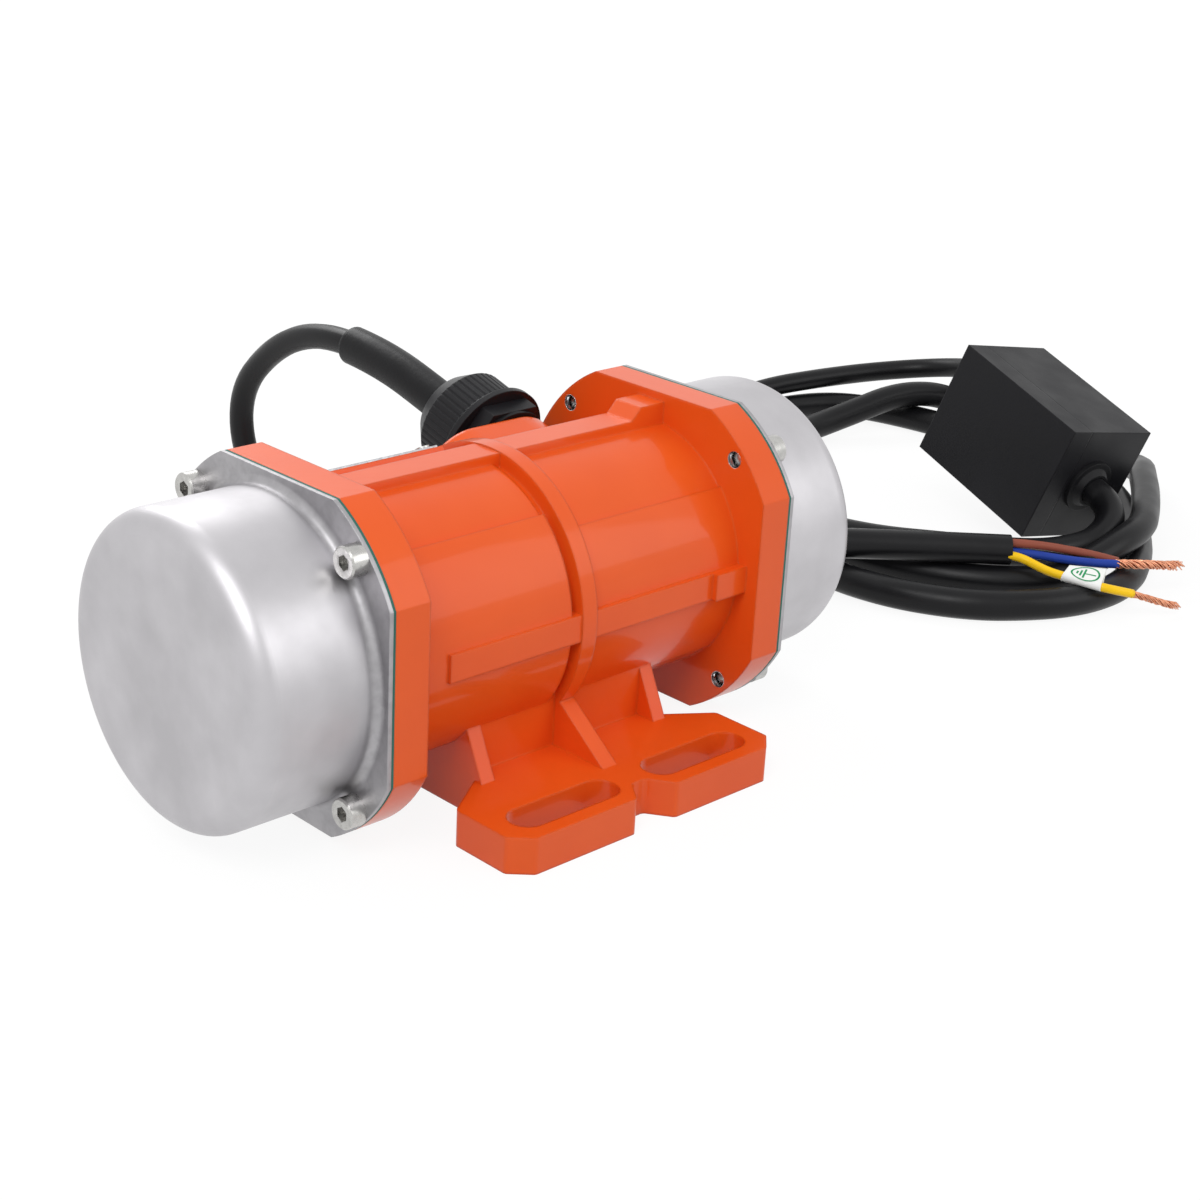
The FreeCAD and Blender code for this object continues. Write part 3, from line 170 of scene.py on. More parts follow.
class StageSettings(bpy.types.PropertyGroup):
    """Camera and lamps."""

    azimuth: angle("Azimuth", "Camera's turn about Z from looking along +Y", -45.036)
    elevation: angle("Elevation", "Camera's angle above the horizon", 21.62)
    roll: angle("Roll", "Camera's turn about its own line of sight", 3.098)
    distance: length("Distance", "From the camera to the plane it is aimed at", 516.53)
    slide_right: length("Slide right", "Camera's offset to its right", 27.305)
    slide_up: length("Slide up", "Camera's offset upwards", 32.705)
    lens: bpy.props.FloatProperty(name="Lens", description="Focal length in millimetres",
                                  default=65.281, unit="CAMERA")
    key_power: bpy.props.FloatProperty(name="Key", description="Key lamp's power in watts",
                                       default=4.2)
    fill_power: bpy.props.FloatProperty(name="Fill", description="Fill lamp's power in watts",
                                        default=1.6)
    rim_power: bpy.props.FloatProperty(name="Rim", description="Rear lamp's power in watts",
                                       default=3.0)
    ambient: bpy.props.FloatProperty(name="Ambient", description="World light's strength",
                                     default=0.62)


# ---------------------------------------------------------------- materials

def add_node(tree, kind, inputs=None, **settings):
    """A node of a tree with its settings, input values and links."""
    node = tree.nodes.new(kind)
    for name, value in settings.items():
        setattr(node, name, value)
    for name, value in (inputs or {}).items():
        if isinstance(value, bpy.types.NodeSocket):
            tree.links.new(value, node.inputs[name])
        else:
            node.inputs[name].default_value = value
    return node


def per_metre(millimetres):
    """A texture's scale for features of a size in millimetres."""
    return 1 / (millimetres * MM)


def rgba(values):
    return (*values, 1.0)


def maths(tree, operation, *values):
    """The result of a Math node on numbers and sockets."""
    return add_node(tree, "ShaderNodeMath", dict(enumerate(values)),
                    operation=operation).outputs["Value"]


def vector_maths(tree, operation, *values):
    """The result of a Vector Math node on vectors and sockets."""
    result = "Value" if operation == "LENGTH" else "Vector"
    return add_node(tree, "ShaderNodeVectorMath", dict(enumerate(values)),
                    operation=operation).outputs[result]


def object_place(tree):
    return add_node(tree, "ShaderNodeTexCoord").outputs["Object"]


def noise(tree, vector, scale, detail):
    return add_node(tree, "ShaderNodeTexNoise", {"Vector": vector, "Scale": scale,
                                                 "Detail": detail}).outputs["Fac"]


def grain(tree, size_mm, detail):
    """Noise with features of a size in millimetres."""
    return noise(tree, object_place(tree), per_metre(size_mm), detail)


def turned_grain(tree, size_mm, around, detail):
    """Noise drawn out round the shaft's line."""
    return noise(tree, turned_vector(tree, per_metre(size_mm), around), 1.0, detail)


def spread(tree, value, low, high, start=0.3, stop=0.7):
    """A value that runs from low to high as another goes from start to stop."""
    return add_node(tree, "ShaderNodeMapRange",
                    {"Value": value, "From Min": start, "From Max": stop,
                     "To Min": low, "To Max": high}).outputs["Result"]


def mixed(tree, factor, first, second):
    """A blend of two colours, each given as values or as a socket.

    The Mix node keeps the sockets of all its data types: its colours are numbers 6 and 7.
    """
    first, second = (tone if isinstance(tone, bpy.types.NodeSocket) else rgba(tone)
                     for tone in (first, second))
    return add_node(tree, "ShaderNodeMix", {0: factor, 6: first, 7: second},
                    data_type="RGBA").outputs[2]


def toned(tone, share):
    """A colour made darker or paler."""
    return [min(1, channel * share) for channel in tone]


def bumped(tree, height, depth_mm, normal=None):
    """Normals of a relief, on top of others where they are given."""
    inputs = {"Height": height, "Distance": depth_mm * MM}
    if normal is not None:
        inputs["Normal"] = normal
    return add_node(tree, "ShaderNodeBump", inputs).outputs["Normal"]


def soft_edge(tree, radius_mm):
    """Normals that round every edge by a radius, as casting, paint and moulding do."""
    return add_node(tree, "ShaderNodeBevel", {"Radius": radius_mm * MM}, samples=6).outputs[0]


def new_finish(name, **shader):
    """A material with a Principled shader set from its socket names."""
    material = bpy.data.materials.new(name)
    material.use_nodes = True
    tree = material.node_tree
    principled = tree.nodes["Principled BSDF"]
    for key, value in shader.items():
        socket = principled.inputs[key.replace("_", " ")]
        if isinstance(value, bpy.types.NodeSocket):
            tree.links.new(value, socket)
        else:
            socket.default_value = value
    return material, tree, principled


def feed(tree, principled, **links):
    for name, output in links.items():
        tree.links.new(output, principled.inputs[name.replace("_", " ")])


def enamel_finish(colours, screws):
    """Gloss enamel sprayed over sand-cast aluminium.

    The paint flows over the casting's sandy waves, rounds its edges and lies darker where it
    pools.
    """
    material, tree, shader = new_finish("enamel_on_cast_aluminium", IOR=1.5,
                                        Specular_IOR_Level=0.16, Coat_Weight=0.3,
                                        Coat_Roughness=0.07)
    pools = grain(tree, 22, 2)
    waves = grain(tree, 5, 2)
    bare, thread = tapped_holes(tree, screws)
    painted = mixed(tree, pools, colours.enamel, colours.enamel_shade)
    skin = bumped(tree, waves, 0.05, soft_edge(tree, 0.9))
    feed(tree, shader, Base_Color=mixed(tree, bare, painted, linear("#C2C3C5")), Metallic=bare,
         Normal=bumped(tree, thread, 0.3, skin), Roughness=spread(tree, bare, 0.3, 0.2, 0, 1))
    return material


def tapped_holes(tree, screws):
    """1 in the flanges' tapped holes, which are bare metal, and the height of their thread."""
    place = vector_maths(tree, "ADD", object_place(tree), (0, 0, -AXIS_HEIGHT))
    folded = vector_maths(tree, "ABSOLUTE", place)
    reach = screws.circle / 2 * math.sqrt(0.5)
    near = vector_maths(tree, "SUBTRACT", folded, (0, reach, reach))
    away = vector_maths(tree, "LENGTH", vector_maths(tree, "MULTIPLY", near, (0, 1, 1)))
    wall, face = 0.1 * MM, 0.05 * MM
    in_hole = maths(tree, "LESS_THAN", away, screws.hole_radius + wall)
    along = add_node(tree, "ShaderNodeSeparateXYZ", {"Vector": folded}).outputs["X"]
    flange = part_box("housing")[1].x - FLANGE_THICKNESS
    in_flange = maths(tree, "GREATER_THAN", along, flange - face)
    bare = maths(tree, "MULTIPLY", in_hole, in_flange)
    ridge = maths(tree, "PINGPONG", along, screws.pitch)
    height = maths(tree, "MULTIPLY", ridge, 1 / screws.pitch)
    return bare, maths(tree, "MULTIPLY", height, bare)


def turned_vector(tree, along, around):
    """Coordinates stretched round the shaft's line, so that grain runs as it was turned."""
    moved = vector_maths(tree, "ADD", object_place(tree), (0, 0, -AXIS_HEIGHT))
    x, y, z = add_node(tree, "ShaderNodeSeparateXYZ", {"Vector": moved}).outputs
    squares = [maths(tree, "POWER", side, 2.0) for side in (y, z)]
    reach = maths(tree, "POWER", maths(tree, "ADD", *squares), 0.5)
    return add_node(tree, "ShaderNodeCombineXYZ", {
        "X": maths(tree, "MULTIPLY", x, along),
        "Y": maths(tree, "MULTIPLY", maths(tree, "ARCTAN2", y, z), around),
        "Z": maths(tree, "MULTIPLY", reach, along)}).outputs["Vector"]


def drawn_stainless_finish(colours):
    """Deep-drawn stainless sheet: satin, with faint draw lines and handling smears.

    Shade is painted into the fillet where the drawn wall meets the cover's flange, broken into
    blotches by noise.
    """
    material, tree, shader = new_finish("drawn_stainless", Metallic=1.0)
    lines = turned_grain(tree, 0.9, 1.6, 3)
    smears = grain(tree, 16, 4)
    # Noise that breaks the painted shade in the fillet into blotches.
    fillet_shade_noise = grain(tree, 2.2, 4)
    along = add_node(tree, "ShaderNodeSeparateXYZ", {"Vector": object_place(tree)}).outputs["X"]
    fillet_start, fillet_width = 2.6 * MM, 1.6 * MM
    root = abs(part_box("end_cover_left")[1].x) + fillet_start
    near = spread(tree, maths(tree, "ABSOLUTE", along), 1, 0, root, root + fillet_width)
    # Painted shade: 1 in the fillet at the cover's flange, fading out across the fillet's width.
    painted_fillet_shade = maths(tree, "MULTIPLY", near, spread(tree, fillet_shade_noise, 0.42, 0.6, 0.4, 0.65))
    clean = mixed(tree, spread(tree, smears, 0, 1), colours.stainless,
                  toned(colours.stainless, 0.86))
    # In the fillet, the painted shade darkens the stainless to 0.45 of its colour.
    feed(tree, shader, Base_Color=mixed(tree, painted_fillet_shade, clean, toned(colours.stainless, 0.45)),
         Normal=bumped(tree, lines, 0.004, soft_edge(tree, 0.3)),
         Roughness=spread(tree, smears, 0.4, 0.5))
    return material


def metal_finish(name, tone, low, high, grain_mm, depth_mm, edge_mm=0.15):
    """A plain metal: roughness and fine relief vary over a grain size."""
    material, tree, shader = new_finish(name, Metallic=1.0)
    marks = grain(tree, grain_mm, 3)
    feed(tree, shader,
         Base_Color=mixed(tree, spread(tree, marks, 0, 1), tone, toned(tone, 0.82)),
         Normal=bumped(tree, marks, depth_mm, soft_edge(tree, edge_mm)),
         Roughness=spread(tree, marks, low, high))
    return material


def turned_metal_finish(name, tone, low, high):
    """Metal cut on a lathe, with fine feed lines round the shaft's line."""
    material, tree, shader = new_finish(name, Metallic=1.0)
    lines = turned_grain(tree, 0.5, 0.8, 2)
    feed(tree, shader, Base_Color=mixed(tree, lines, tone, toned(tone, 0.8)),
         Normal=bumped(tree, lines, 0.01, soft_edge(tree, 0.15)),
         Roughness=spread(tree, lines, low, high))
    return material


def moulded_finish(name, tone, low, high, grain_mm=0.6, depth_mm=0.015, edge_mm=0.4, ior=1.5,
                   paler=1.25):
    """Moulded plastic or rubber: a fine eroded grain and dust-pale patches."""
    material, tree, shader = new_finish(name, IOR=ior, Specular_IOR_Level=0.2)
    spark = grain(tree, grain_mm, 2)
    patches = grain(tree, 14, 3)
    feed(tree, shader,
         Base_Color=mixed(tree, spread(tree, patches, 0, 1), tone, toned(tone, paler)),
         Normal=bumped(tree, spark, depth_mm, soft_edge(tree, edge_mm)),
         Roughness=spread(tree, patches, low, high))
    return material


def winding_finish():
    """Varnished magnet wire laid in turns of about a millimetre."""
    material, tree, shader = new_finish("magnet_wire", IOR=1.55, Coat_Weight=0.4,
                                        Coat_Roughness=0.2, Metallic=0.6, Roughness=0.4)
    turns = add_node(tree, "ShaderNodeTexWave",
                     {"Vector": turned_vector(tree, per_metre(6), 40), "Scale": 1.0,
                      "Distortion": 2.0, "Detail": 2.0}, wave_type="BANDS",
                     bands_direction="Y").outputs["Fac"]
    feed(tree, shader, Normal=bumped(tree, turns, 0.3),
         Base_Color=mixed(tree, turns, linear("#5A2410"), linear("#A4522A")))
    return material


def paper_finish(colours):
    """Coated label paper: nearly smooth, with a faint fibre."""
    material, tree, shader = new_finish("label_paper", IOR=1.45)
    fibre = grain(tree, 0.5, 4)
    feed(tree, shader, Normal=bumped(tree, fibre, 0.01),
         Base_Color=mixed(tree, fibre, colours.label, toned(colours.label, 0.95)),
         Roughness=spread(tree, fibre, 0.45, 0.6))
    return material


def dress(material, *nodes):
    """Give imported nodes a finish."""
    for name in nodes:
        mesh = NODES[name].data
        mesh.materials.clear()
        mesh.materials.append(material)


def sided(*names):
    return [f"{name}_{side}" for name in names for side in SIDES]


# ---------------------------------------------------------------- making pieces

def link(obj, body, slot, *materials):
    """Put a finished object in the scene, on a body, with its finish; its slot is not used."""
    bpy.context.scene.collection.objects.link(obj)
    for material in materials:
        obj.data.materials.append(material)
    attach(obj, body)
    return obj


def mesh_object(name, vertices, faces, smooth=True):
    mesh = bpy.data.meshes.new(name)
    mesh.from_pydata([tuple(v) for v in vertices], [], faces)
    mesh.update()
    work = bmesh.new()
    work.from_mesh(mesh)
    bmesh.ops.remove_doubles(work, verts=work.verts, dist=1e-7)
    bmesh.ops.recalc_face_normals(work, faces=work.faces)
    work.to_mesh(mesh)
    work.free()
    if smooth:
        mesh.shade_smooth()
    return bpy.data.objects.new(name, mesh)


def route_curve(name, points, radius, resolution=8):
    """A smooth cord through control points in metres."""
    curve = bpy.data.curves.new(name, "CURVE")
    curve.dimensions = "3D"
    spline = curve.splines.new("NURBS")
    spline.points.add(len(points) - 1)
    for control, point in zip(spline.points, points):
        control.co = (*point, 1.0)
    spline.order_u = 3
    spline.use_endpoint_u = True
    spline.resolution_u = resolution
    curve.bevel_depth = radius
    curve.bevel_resolution = 6
    curve.use_fill_caps = True
    return bpy.data.objects.new(name, curve)


def centre_line(points, resolution=8):
    """Points of the smooth line that a cord's centre follows."""
    line = route_curve("line", points, 0, resolution)
    bpy.context.scene.collection.objects.link(line)
    bpy.context.view_layer.update()
    mesh = bpy.data.meshes.new_from_object(line)
    path = [vertex.co.copy() for vertex in mesh.vertices]
    bpy.data.objects.remove(line)
    bpy.data.meshes.remove(mesh)
    return path


def close_path(path, step):
    """The same path with a point every so often."""
    points = [path[0]]
    for a, b in zip(path, path[1:]):
        pieces = max(1, round((b - a).length / step))
        points.extend(a.lerp(b, n / pieces) for n in range(1, pieces + 1))
    return points


def distances(path):
    """How far along a path each of its points lies."""
    return [0, *itertools.accumulate((b - a).length for a, b in zip(path, path[1:]))]


def path_length(path):
    return distances(path)[-1]


def frames_along(path):
    """Each point with two steady sideways directions."""
    side = (path[1] - path[0]).orthogonal().normalized()
    frames = []
    for number, point in enumerate(path):
        before, after = path[max(number - 1, 0)], path[min(number + 1, len(path) - 1)]
        along = (after - before).normalized()
        side = (side - along * side.dot(along)).normalized()
        frames.append((point, side, along.cross(side)))
    return frames


def turns_of(steps):
    """Angles spaced evenly over a full turn."""
    return [2 * math.pi * step / steps for step in range(steps)]


def beside(point, side, up, turn, distance):
    return point + distance * (math.cos(turn) * side + math.sin(turn) * up)


def tube_faces(rings, sides, start=0):
    """Faces and two caps of a tube whose vertices lie ring after ring."""
    faces = []
    for level in range(rings - 1):
        for step in range(sides):
            a = start + level * sides + step
            b = start + level * sides + (step + 1) % sides
            faces.append((a, b, b + sides, a + sides))
    for end in (start, start + (rings - 1) * sides):
        faces.append(tuple(range(end, end + sides)))
    return faces


def tube(path, radii, sides, start=0):
    """Vertices and faces of a closed tube with a radius at each point of its path."""
    vertices = [beside(*frame, turn, radius) for frame, radius in zip(frames_along(path), radii)
                for turn in turns_of(sides)]
    return vertices, tube_faces(len(path), sides, start)


def in_metres(points, resting=0.0):
    """Points in metres; one that is given no height rests at the cord's own radius."""
    return [tuple(value * MM for value in (*point, resting)[:3]) for point in points]


# ---------------------------------------------------------------- routes of the leads

MOTOR_ROUTE = in_metres([
    (30, 33.95, 58.6), (30, 56.06, 64.94), (30, 77, 70.2), (30, 103, 71.6), (30, 124, 63.5),
    (30, 142, 46), (32, 142, 24), (42, 137, 8), (64, 136), (96, 143),
    (134, 149), (174, 149), (208, 145.5), (230, 143.5, 6.5), (250, 138, 11.8),
    (272, 130.5, 13.6), (294, 123, 14.4), (309, 108, 17), (307, 89, 21.5), (294, 74, 25.5),
    (273, 66.5, 28.5), (247.07, 54.05, 30.44), (244.3, 38.02, 25.52)], 3.4)

SUPPLY_ROUTE = in_metres([
    # out of the box and round beneath its outlet
    (231.8, -7.1, 20.7), (230.8, -13, 18.9), (230.2, -17.2, 17.2), (227.5, -21.2, 14.8),
    (223, -23.4, 12.4), (218, -23.6, 10.1), (213.4, -21.6, 7.9), (206.5, -14, 5.2), (198.5, -4),
    (188, 10), (177, 24),
    # first turn, inside at the front and outside at the right
    (171, 40), (170, 58), (176, 78), (192, 97), (216, 108), (245, 111, 4.6), (262, 106, 9),
    (277, 101.5, 13.3), (292, 96, 13.3), (303, 87, 8.5), (310, 72), (312.3, 53), (309, 34),
    (301, 18.5, 5.5), (289, 7, 9.5), (275, -1.5, 13.3), (260, -12.5, 13.4), (244, -22.8, 13.4),
    (230.5, -30.6, 13.4), (217, -33.2, 12.7), (204, -32, 9), (191.5, -28.5, 5), (179, -20),
    (168, -5.5), (162, 12), (160, 28),
    # second turn, inside at the right and outside at the front
    (158.5, 46), (160.5, 67), (168, 89), (184, 110), (208, 126), (236, 133), (262, 133),
    (279, 124), (285, 107), (288, 86), (291, 62), (290, 38), (281, 17.5), (268.5, 1.5),
    (255, -12), (240.5, -24), (226, -33), (211, -40.4), (195, -43), (180.5, -40.5), (167, -33.5),
    (156, -24.5), (148, -11.5), (144.3, 0), (143, 13),
    # back over itself to the bare end on top
    (145.5, 33), (149, 53), (149, 75), (141, 97), (122, 110), (100, 107), (85, 92), (83, 70),
    (93, 50), (110, 36.5, 7), (126, 27.5, 11.5), (138, 20.5, 13.3), (148, 12, 13.3),
    (164.5, -2.6, 13.2), (181.3, -18.4, 13.15)], 4.35)

# A core's route starts inside the jacket's end.
BROWN_ROUTE = in_metres([(180.2, -15.6, 14.8), (183.4, -19, 14.9), (187.5, -22.4, 14.5),
                         (192.5, -25.8, 13.6), (197.8, -29.8, 12.4), (202.5, -34, 11.3),
                         (206.3, -38.4, 10.1)])
BLUE_ROUTE = in_metres([(179.4, -15.6, 12.6), (182.2, -18.6, 12.5), (187, -24, 12),
                        (190.5, -27.6, 11.4), (194.4, -31.8, 10.9), (198.8, -36.1, 10.5),
                        (203.8, -40.2, 10.4)])
YELLOW_ROUTE = in_metres([(176.9, -18, 12.9), (179.4, -20.9, 12.6), (181.4, -23.8, 11.8),
                          (182, -28, 10.8), (182.4, -32, 10.25), (183.6, -36.1, 9.97),
                          (184.8, -39.9, 9.7), (186, -43.7, 9.43), (187.05, -47, 9.2),
                          (190.3, -50, 8.4), (194.3, -51.7, 7.2)])
LIVE_ENDS = in_metres([(203.2, -39.7, 10.4), (208, -43.2, 10.3), (212.6, -45.4, 9.8),
                       (218, -47.2, 8.9), (224, -48.8, 8)])
EARTH_ENDS = in_metres([(193.6, -51.2, 7.4), (197.6, -53.9, 6), (201.1, -55.6, 4.6),
                        (204.4, -57.3, 3.4), (207.9, -58.8, 2.4)])
# The label's corners: along the yellow core, then back along its free edge.
LABEL_CORNERS = in_metres([(183.4, -35.6, 10), (186.8, -46.2, 9.27), (191.9, -44, 12.9),
                           (185.9, -35.6, 12.7)])


# ---------------------------------------------------------------- operators

class MOTOR_OT_finish_casting(bpy.types.Operator):
    """Paint the casting and give the covers, gaskets and name plate their finishes"""

    bl_idname = "motor.finish_casting"
    bl_label = "Finish casting and covers"

    def execute(self, context):
        colours = context.scene.motor_colours
        dress(enamel_finish(colours, context.scene.motor_screws), "housing")
        dress(drawn_stainless_finish(colours), *sided("end_cover"))
        dress(moulded_finish("jointing_sheet", colours.gasket, 0.6, 0.8, grain_mm=0.4,
                             depth_mm=0.02, edge_mm=0.05), *sided("cover_gasket"))
        dress(metal_finish("anodised_aluminium", linear("#B4B6B9"), 0.35, 0.5, 0.8, 0.004),
              "name_plate")
        dress(metal_finish("zinc_plated_rivets", colours.zinc, 0.25, 0.4, 2, 0.005),
              "plate_rivets")
        return {"FINISHED"}


class MOTOR_OT_finish_inside(bpy.types.Operator):
    """Give the stator, rotor, bearings and eccentric weights their finishes"""

    bl_idname = "motor.finish_inside"
    bl_label = "Finish the working parts"

    def execute(self, context):
        colours = context.scene.motor_colours
        dress(turned_metal_finish("turned_steel", linear("#B4B2AF"), 0.22, 0.38),
              "shaft", "spacers", "weight_keys")
        dress(turned_metal_finish("ground_bearing_steel", linear("#C9C8C6"), 0.1, 0.22),
              *sided("bearing_outer_ring", "bearing_inner_ring", "bearing_balls"))
        dress(metal_finish("pressed_brass", linear("#B99A4C"), 0.3, 0.45, 2, 0.01),
              *sided("bearing_cage"))
        dress(turned_metal_finish("faced_cast_iron", linear("#6E6D6B"), 0.4, 0.6),
              *sided("inner_weight", "outer_weight"))
        dress(turned_metal_finish("electrical_sheet", linear("#7F8183"), 0.4, 0.55),
              "stator_core", "rotor_core")
        dress(metal_finish("die_cast_aluminium", linear("#B0B1B2"), 0.4, 0.6, 1.4, 0.03, 0.4),
              "rotor_end_rings", *sided("end_shield"))
        dress(metal_finish("phosphated_spring_steel", linear("#4B4C4E"), 0.4, 0.55, 0.8, 0.01),
              "shield_clips", "shaft_clips")
        dress(metal_finish("zinc_plated_screws", colours.zinc, 0.22, 0.4, 2, 0.006),
              *sided("shield_screws", "set_screw"))
        dress(winding_finish(), *sided("windings"))
        return {"FINISHED"}


class MOTOR_OT_finish_gland(bpy.types.Operator):
    """Give the cable gland, its seals and the capacitor box their finishes"""

    bl_idname = "motor.finish_gland"
    bl_label = "Finish gland and box"

    def execute(self, context):
        colours = context.scene.motor_colours
        dress(moulded_finish("moulded_nylon", colours.nylon, 0.34, 0.48, ior=1.53),
              "gland_body", "gland_cap")
        dress(moulded_finish("moulded_rubber", colours.rubber, 0.42, 0.58, grain_mm=0.9),
              "gland_seal", "gland_washer", "box_inlet_grommet", "box_outlet_grommet")
        dress(moulded_finish("moulded_abs", colours.box, 0.38, 0.52, grain_mm=0.5,
                             depth_mm=0.03, edge_mm=0.6), "box_body", "box_lid")
        dress(moulded_finish("capacitor_can", linear("#DCDCD6"), 0.3, 0.4), "capacitor")
        return {"FINISHED"}


def screw_prototype(sizes):
    """A socket screw whose head stands on Z = 0 over a threaded shank."""
    steps, corners, levels_in_turn = 36, 6, 6
    key_corner = sizes.key / math.sqrt(3)
    depth = 0.6 * sizes.pitch

    def ring(radius, height):
        return [Vector((math.cos(turn) * radius, math.sin(turn) * radius, height))
                for turn in turns_of(steps)]

    def thread(height):
        """A ring whose radius follows the helix of the thread."""
        points = []
        for n, turn in enumerate(turns_of(steps)):
            phase = (height / sizes.pitch - n / steps) % 1
            radius = sizes.shank_radius - depth * abs(2 * phase - 1)
            points.append(Vector((math.cos(turn) * radius, math.sin(turn) * radius, height)))
        return points

    def hexagon(corner, height):
        points = []
        for n in range(steps):
            side, part = divmod(n, steps // corners)
            a, b = (Vector((math.cos(math.pi / 3 * k), math.sin(math.pi / 3 * k), 0))
                    for k in (side, side + 1))
            points.append(corner * a.lerp(b, part / (steps // corners)) +
                          Vector((0, 0, height)))
        return points

    top, edge = sizes.head_height, sizes.edge
    floor = top - sizes.key_depth
    levels = round(levels_in_turn * sizes.shank_length / sizes.pitch)
    rings = [ring(sizes.shank_radius - 2 * depth, -sizes.shank_length - depth)]
    rings += [thread(-sizes.shank_length * (1 - level / levels)) for level in range(levels)]
    rings += [ring(sizes.shank_radius - depth, 0), ring(sizes.head_radius, 0),
              ring(sizes.head_radius, top - edge), ring(sizes.head_radius - edge, top),
              ring(key_corner + edge, top), hexagon(key_corner, top - edge / 2),
              hexagon(key_corner, floor), hexagon(key_corner / 4, floor - edge)]
    screw = mesh_object("screw_prototype", itertools.chain(*rings),
                        tube_faces(len(rings), steps))
    screw.data.set_sharp_from_angle(angle=math.radians(40))
    return screw


def screw_ring_tree():
    """A node tree that stands copies of an object on a ring and turns the ring to face X."""
    tree = bpy.data.node_groups.new("ring_of_screws", "GeometryNodeTree")
    face = tree.interface
    face.new_socket("Geometry", in_out="INPUT", socket_type="NodeSocketGeometry")
    for name, kind in (("Screw", "Object"), ("Count", "Int"), ("Ring Radius", "Float"),
                       ("Seat", "Vector"), ("Facing", "Vector"), ("Finish", "Material")):
        face.new_socket(name, in_out="INPUT", socket_type=f"NodeSocket{kind}")
    face.new_socket("Geometry", in_out="OUTPUT", socket_type="NodeSocketGeometry")
    given = add_node(tree, "NodeGroupInput").outputs
    circle = add_node(tree, "GeometryNodeMeshCircle", {"Vertices": given["Count"],
                                                       "Radius": given["Ring Radius"]})
    eighth = add_node(tree, "GeometryNodeTransform", {"Geometry": circle.outputs["Mesh"],
                                                      "Rotation": (0, 0, math.pi / 4)})
    screw = add_node(tree, "GeometryNodeObjectInfo", {"Object": given["Screw"]})
    copies = add_node(tree, "GeometryNodeInstanceOnPoints",
                      {"Points": eighth.outputs[0], "Instance": screw.outputs["Geometry"]})
    placed = add_node(tree, "GeometryNodeTransform",
                      {"Geometry": copies.outputs[0], "Translation": given["Seat"],
                       "Rotation": given["Facing"]})
    real = add_node(tree, "GeometryNodeRealizeInstances", {"Geometry": placed.outputs[0]})
    finished = add_node(tree, "GeometryNodeSetMaterial", {"Geometry": real.outputs[0],
                                                          "Material": given["Finish"]})
    add_node(tree, "NodeGroupOutput", {"Geometry": finished.outputs[0]})
    return tree


def run_tree(name, tree, values):
    """The mesh that a node tree makes from named values."""
    source = bpy.data.objects.new(name, bpy.data.meshes.new(name))
    bpy.context.scene.collection.objects.link(source)
    modifier = source.modifiers.new("Nodes", "NODES")
    modifier.node_group = tree
    for item in tree.interface.items_tree:
        if item.in_out == "INPUT" and item.name in values:
            modifier[item.identifier] = values[item.name]
    bpy.context.view_layer.update()
    evaluated = source.evaluated_get(bpy.context.evaluated_depsgraph_get())
    mesh = bpy.data.meshes.new_from_object(evaluated)
    bpy.data.objects.remove(source)
    return mesh


class MOTOR_OT_fit_cover_screws(bpy.types.Operator):
    """Stand socket screws on both end covers"""

    bl_idname = "motor.fit_cover_screws"
    bl_label = "Fit cover screws"

    def execute(self, context):
        sizes = context.scene.motor_screws
        colours = context.scene.motor_colours
        zinc = metal_finish("zinc_plated_socket_screws", colours.zinc, 0.2, 0.36, 1.5, 0.006,
                            0.1)
        prototype = screw_prototype(sizes)
        context.scene.collection.objects.link(prototype)
        tree = screw_ring_tree()
        for side, way in zip(SIDES, (-1, 1)):
            low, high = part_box(f"cover_screws_{side}")
            seat = (high.x if way > 0 else low.x) - way * sizes.head_height
            mesh = run_tree(f"socket_screws_{side}", tree, {
                "Screw": prototype, "Count": sizes.count, "Ring Radius": sizes.circle / 2,
                "Seat": (seat, 0, AXIS_HEIGHT), "Facing": (0, way * math.pi / 2, 0),
                "Finish": zinc})
            piece = bpy.data.objects.new(f"socket_screws_{side}", mesh)
            link(piece, ROOT, "zinc_steel")
            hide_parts(f"cover_screws_{side}")
        bpy.data.objects.remove(prototype)
        return {"FINISHED"}


class MOTOR_OT_lay_motor_lead(bpy.types.Operator):
    """Lay the motor's lead from the gland to the box, with its bend sleeve"""

    bl_idname = "motor.lay_motor_lead"
    bl_label = "Lay motor lead"

    def execute(self, context):
        colours = context.scene.motor_colours
        sizes = context.scene.motor_leads
        jacket = moulded_finish("rubber_jacket", colours.jacket, 0.3, 0.44, grain_mm=0.8,
                                depth_mm=0.02, edge_mm=0.1, ior=1.52)
        lead = route_curve("motor_lead", MOTOR_ROUTE, sizes.motor_radius)
        link(lead, ROOT, "cable_jacket", jacket)
        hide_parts("motor_cable")
        path = centre_line(MOTOR_ROUTE)
        sleeve = bend_sleeve(path, sizes)
        link(sleeve, ROOT, "sleeve_plastic",
             moulded_finish("heat_shrink_sleeve", colours.jacket, 0.34, 0.5, grain_mm=1.1,
                            depth_mm=0.04, edge_mm=0.1, ior=1.5))
        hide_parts("cable_sleeve")
        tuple(MOTOR_ROUTE[0])
        path_length(path)
        return {"FINISHED"}


def bend_sleeve(path, sizes):
    """A shrunk sleeve over the start of the motor lead, closing on it in a round lip."""
    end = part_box("cable_sleeve")[1].y
    covered = list(itertools.takewhile(lambda point: point.y < end, path))
    whole = path_length(covered)
    lip = 1.2 * MM
    full, thin = sizes.sleeve_radius, sizes.motor_radius * 1.08

    def radius(travelled):
        left = whole - travelled
        return full if left > lip else thin + (full - thin) * math.sqrt(max(0, left / lip))

    close = close_path(covered, 0.6 * MM)
    return mesh_object("bend_sleeve", *tube(close, map(radius, distances(close)), 32))


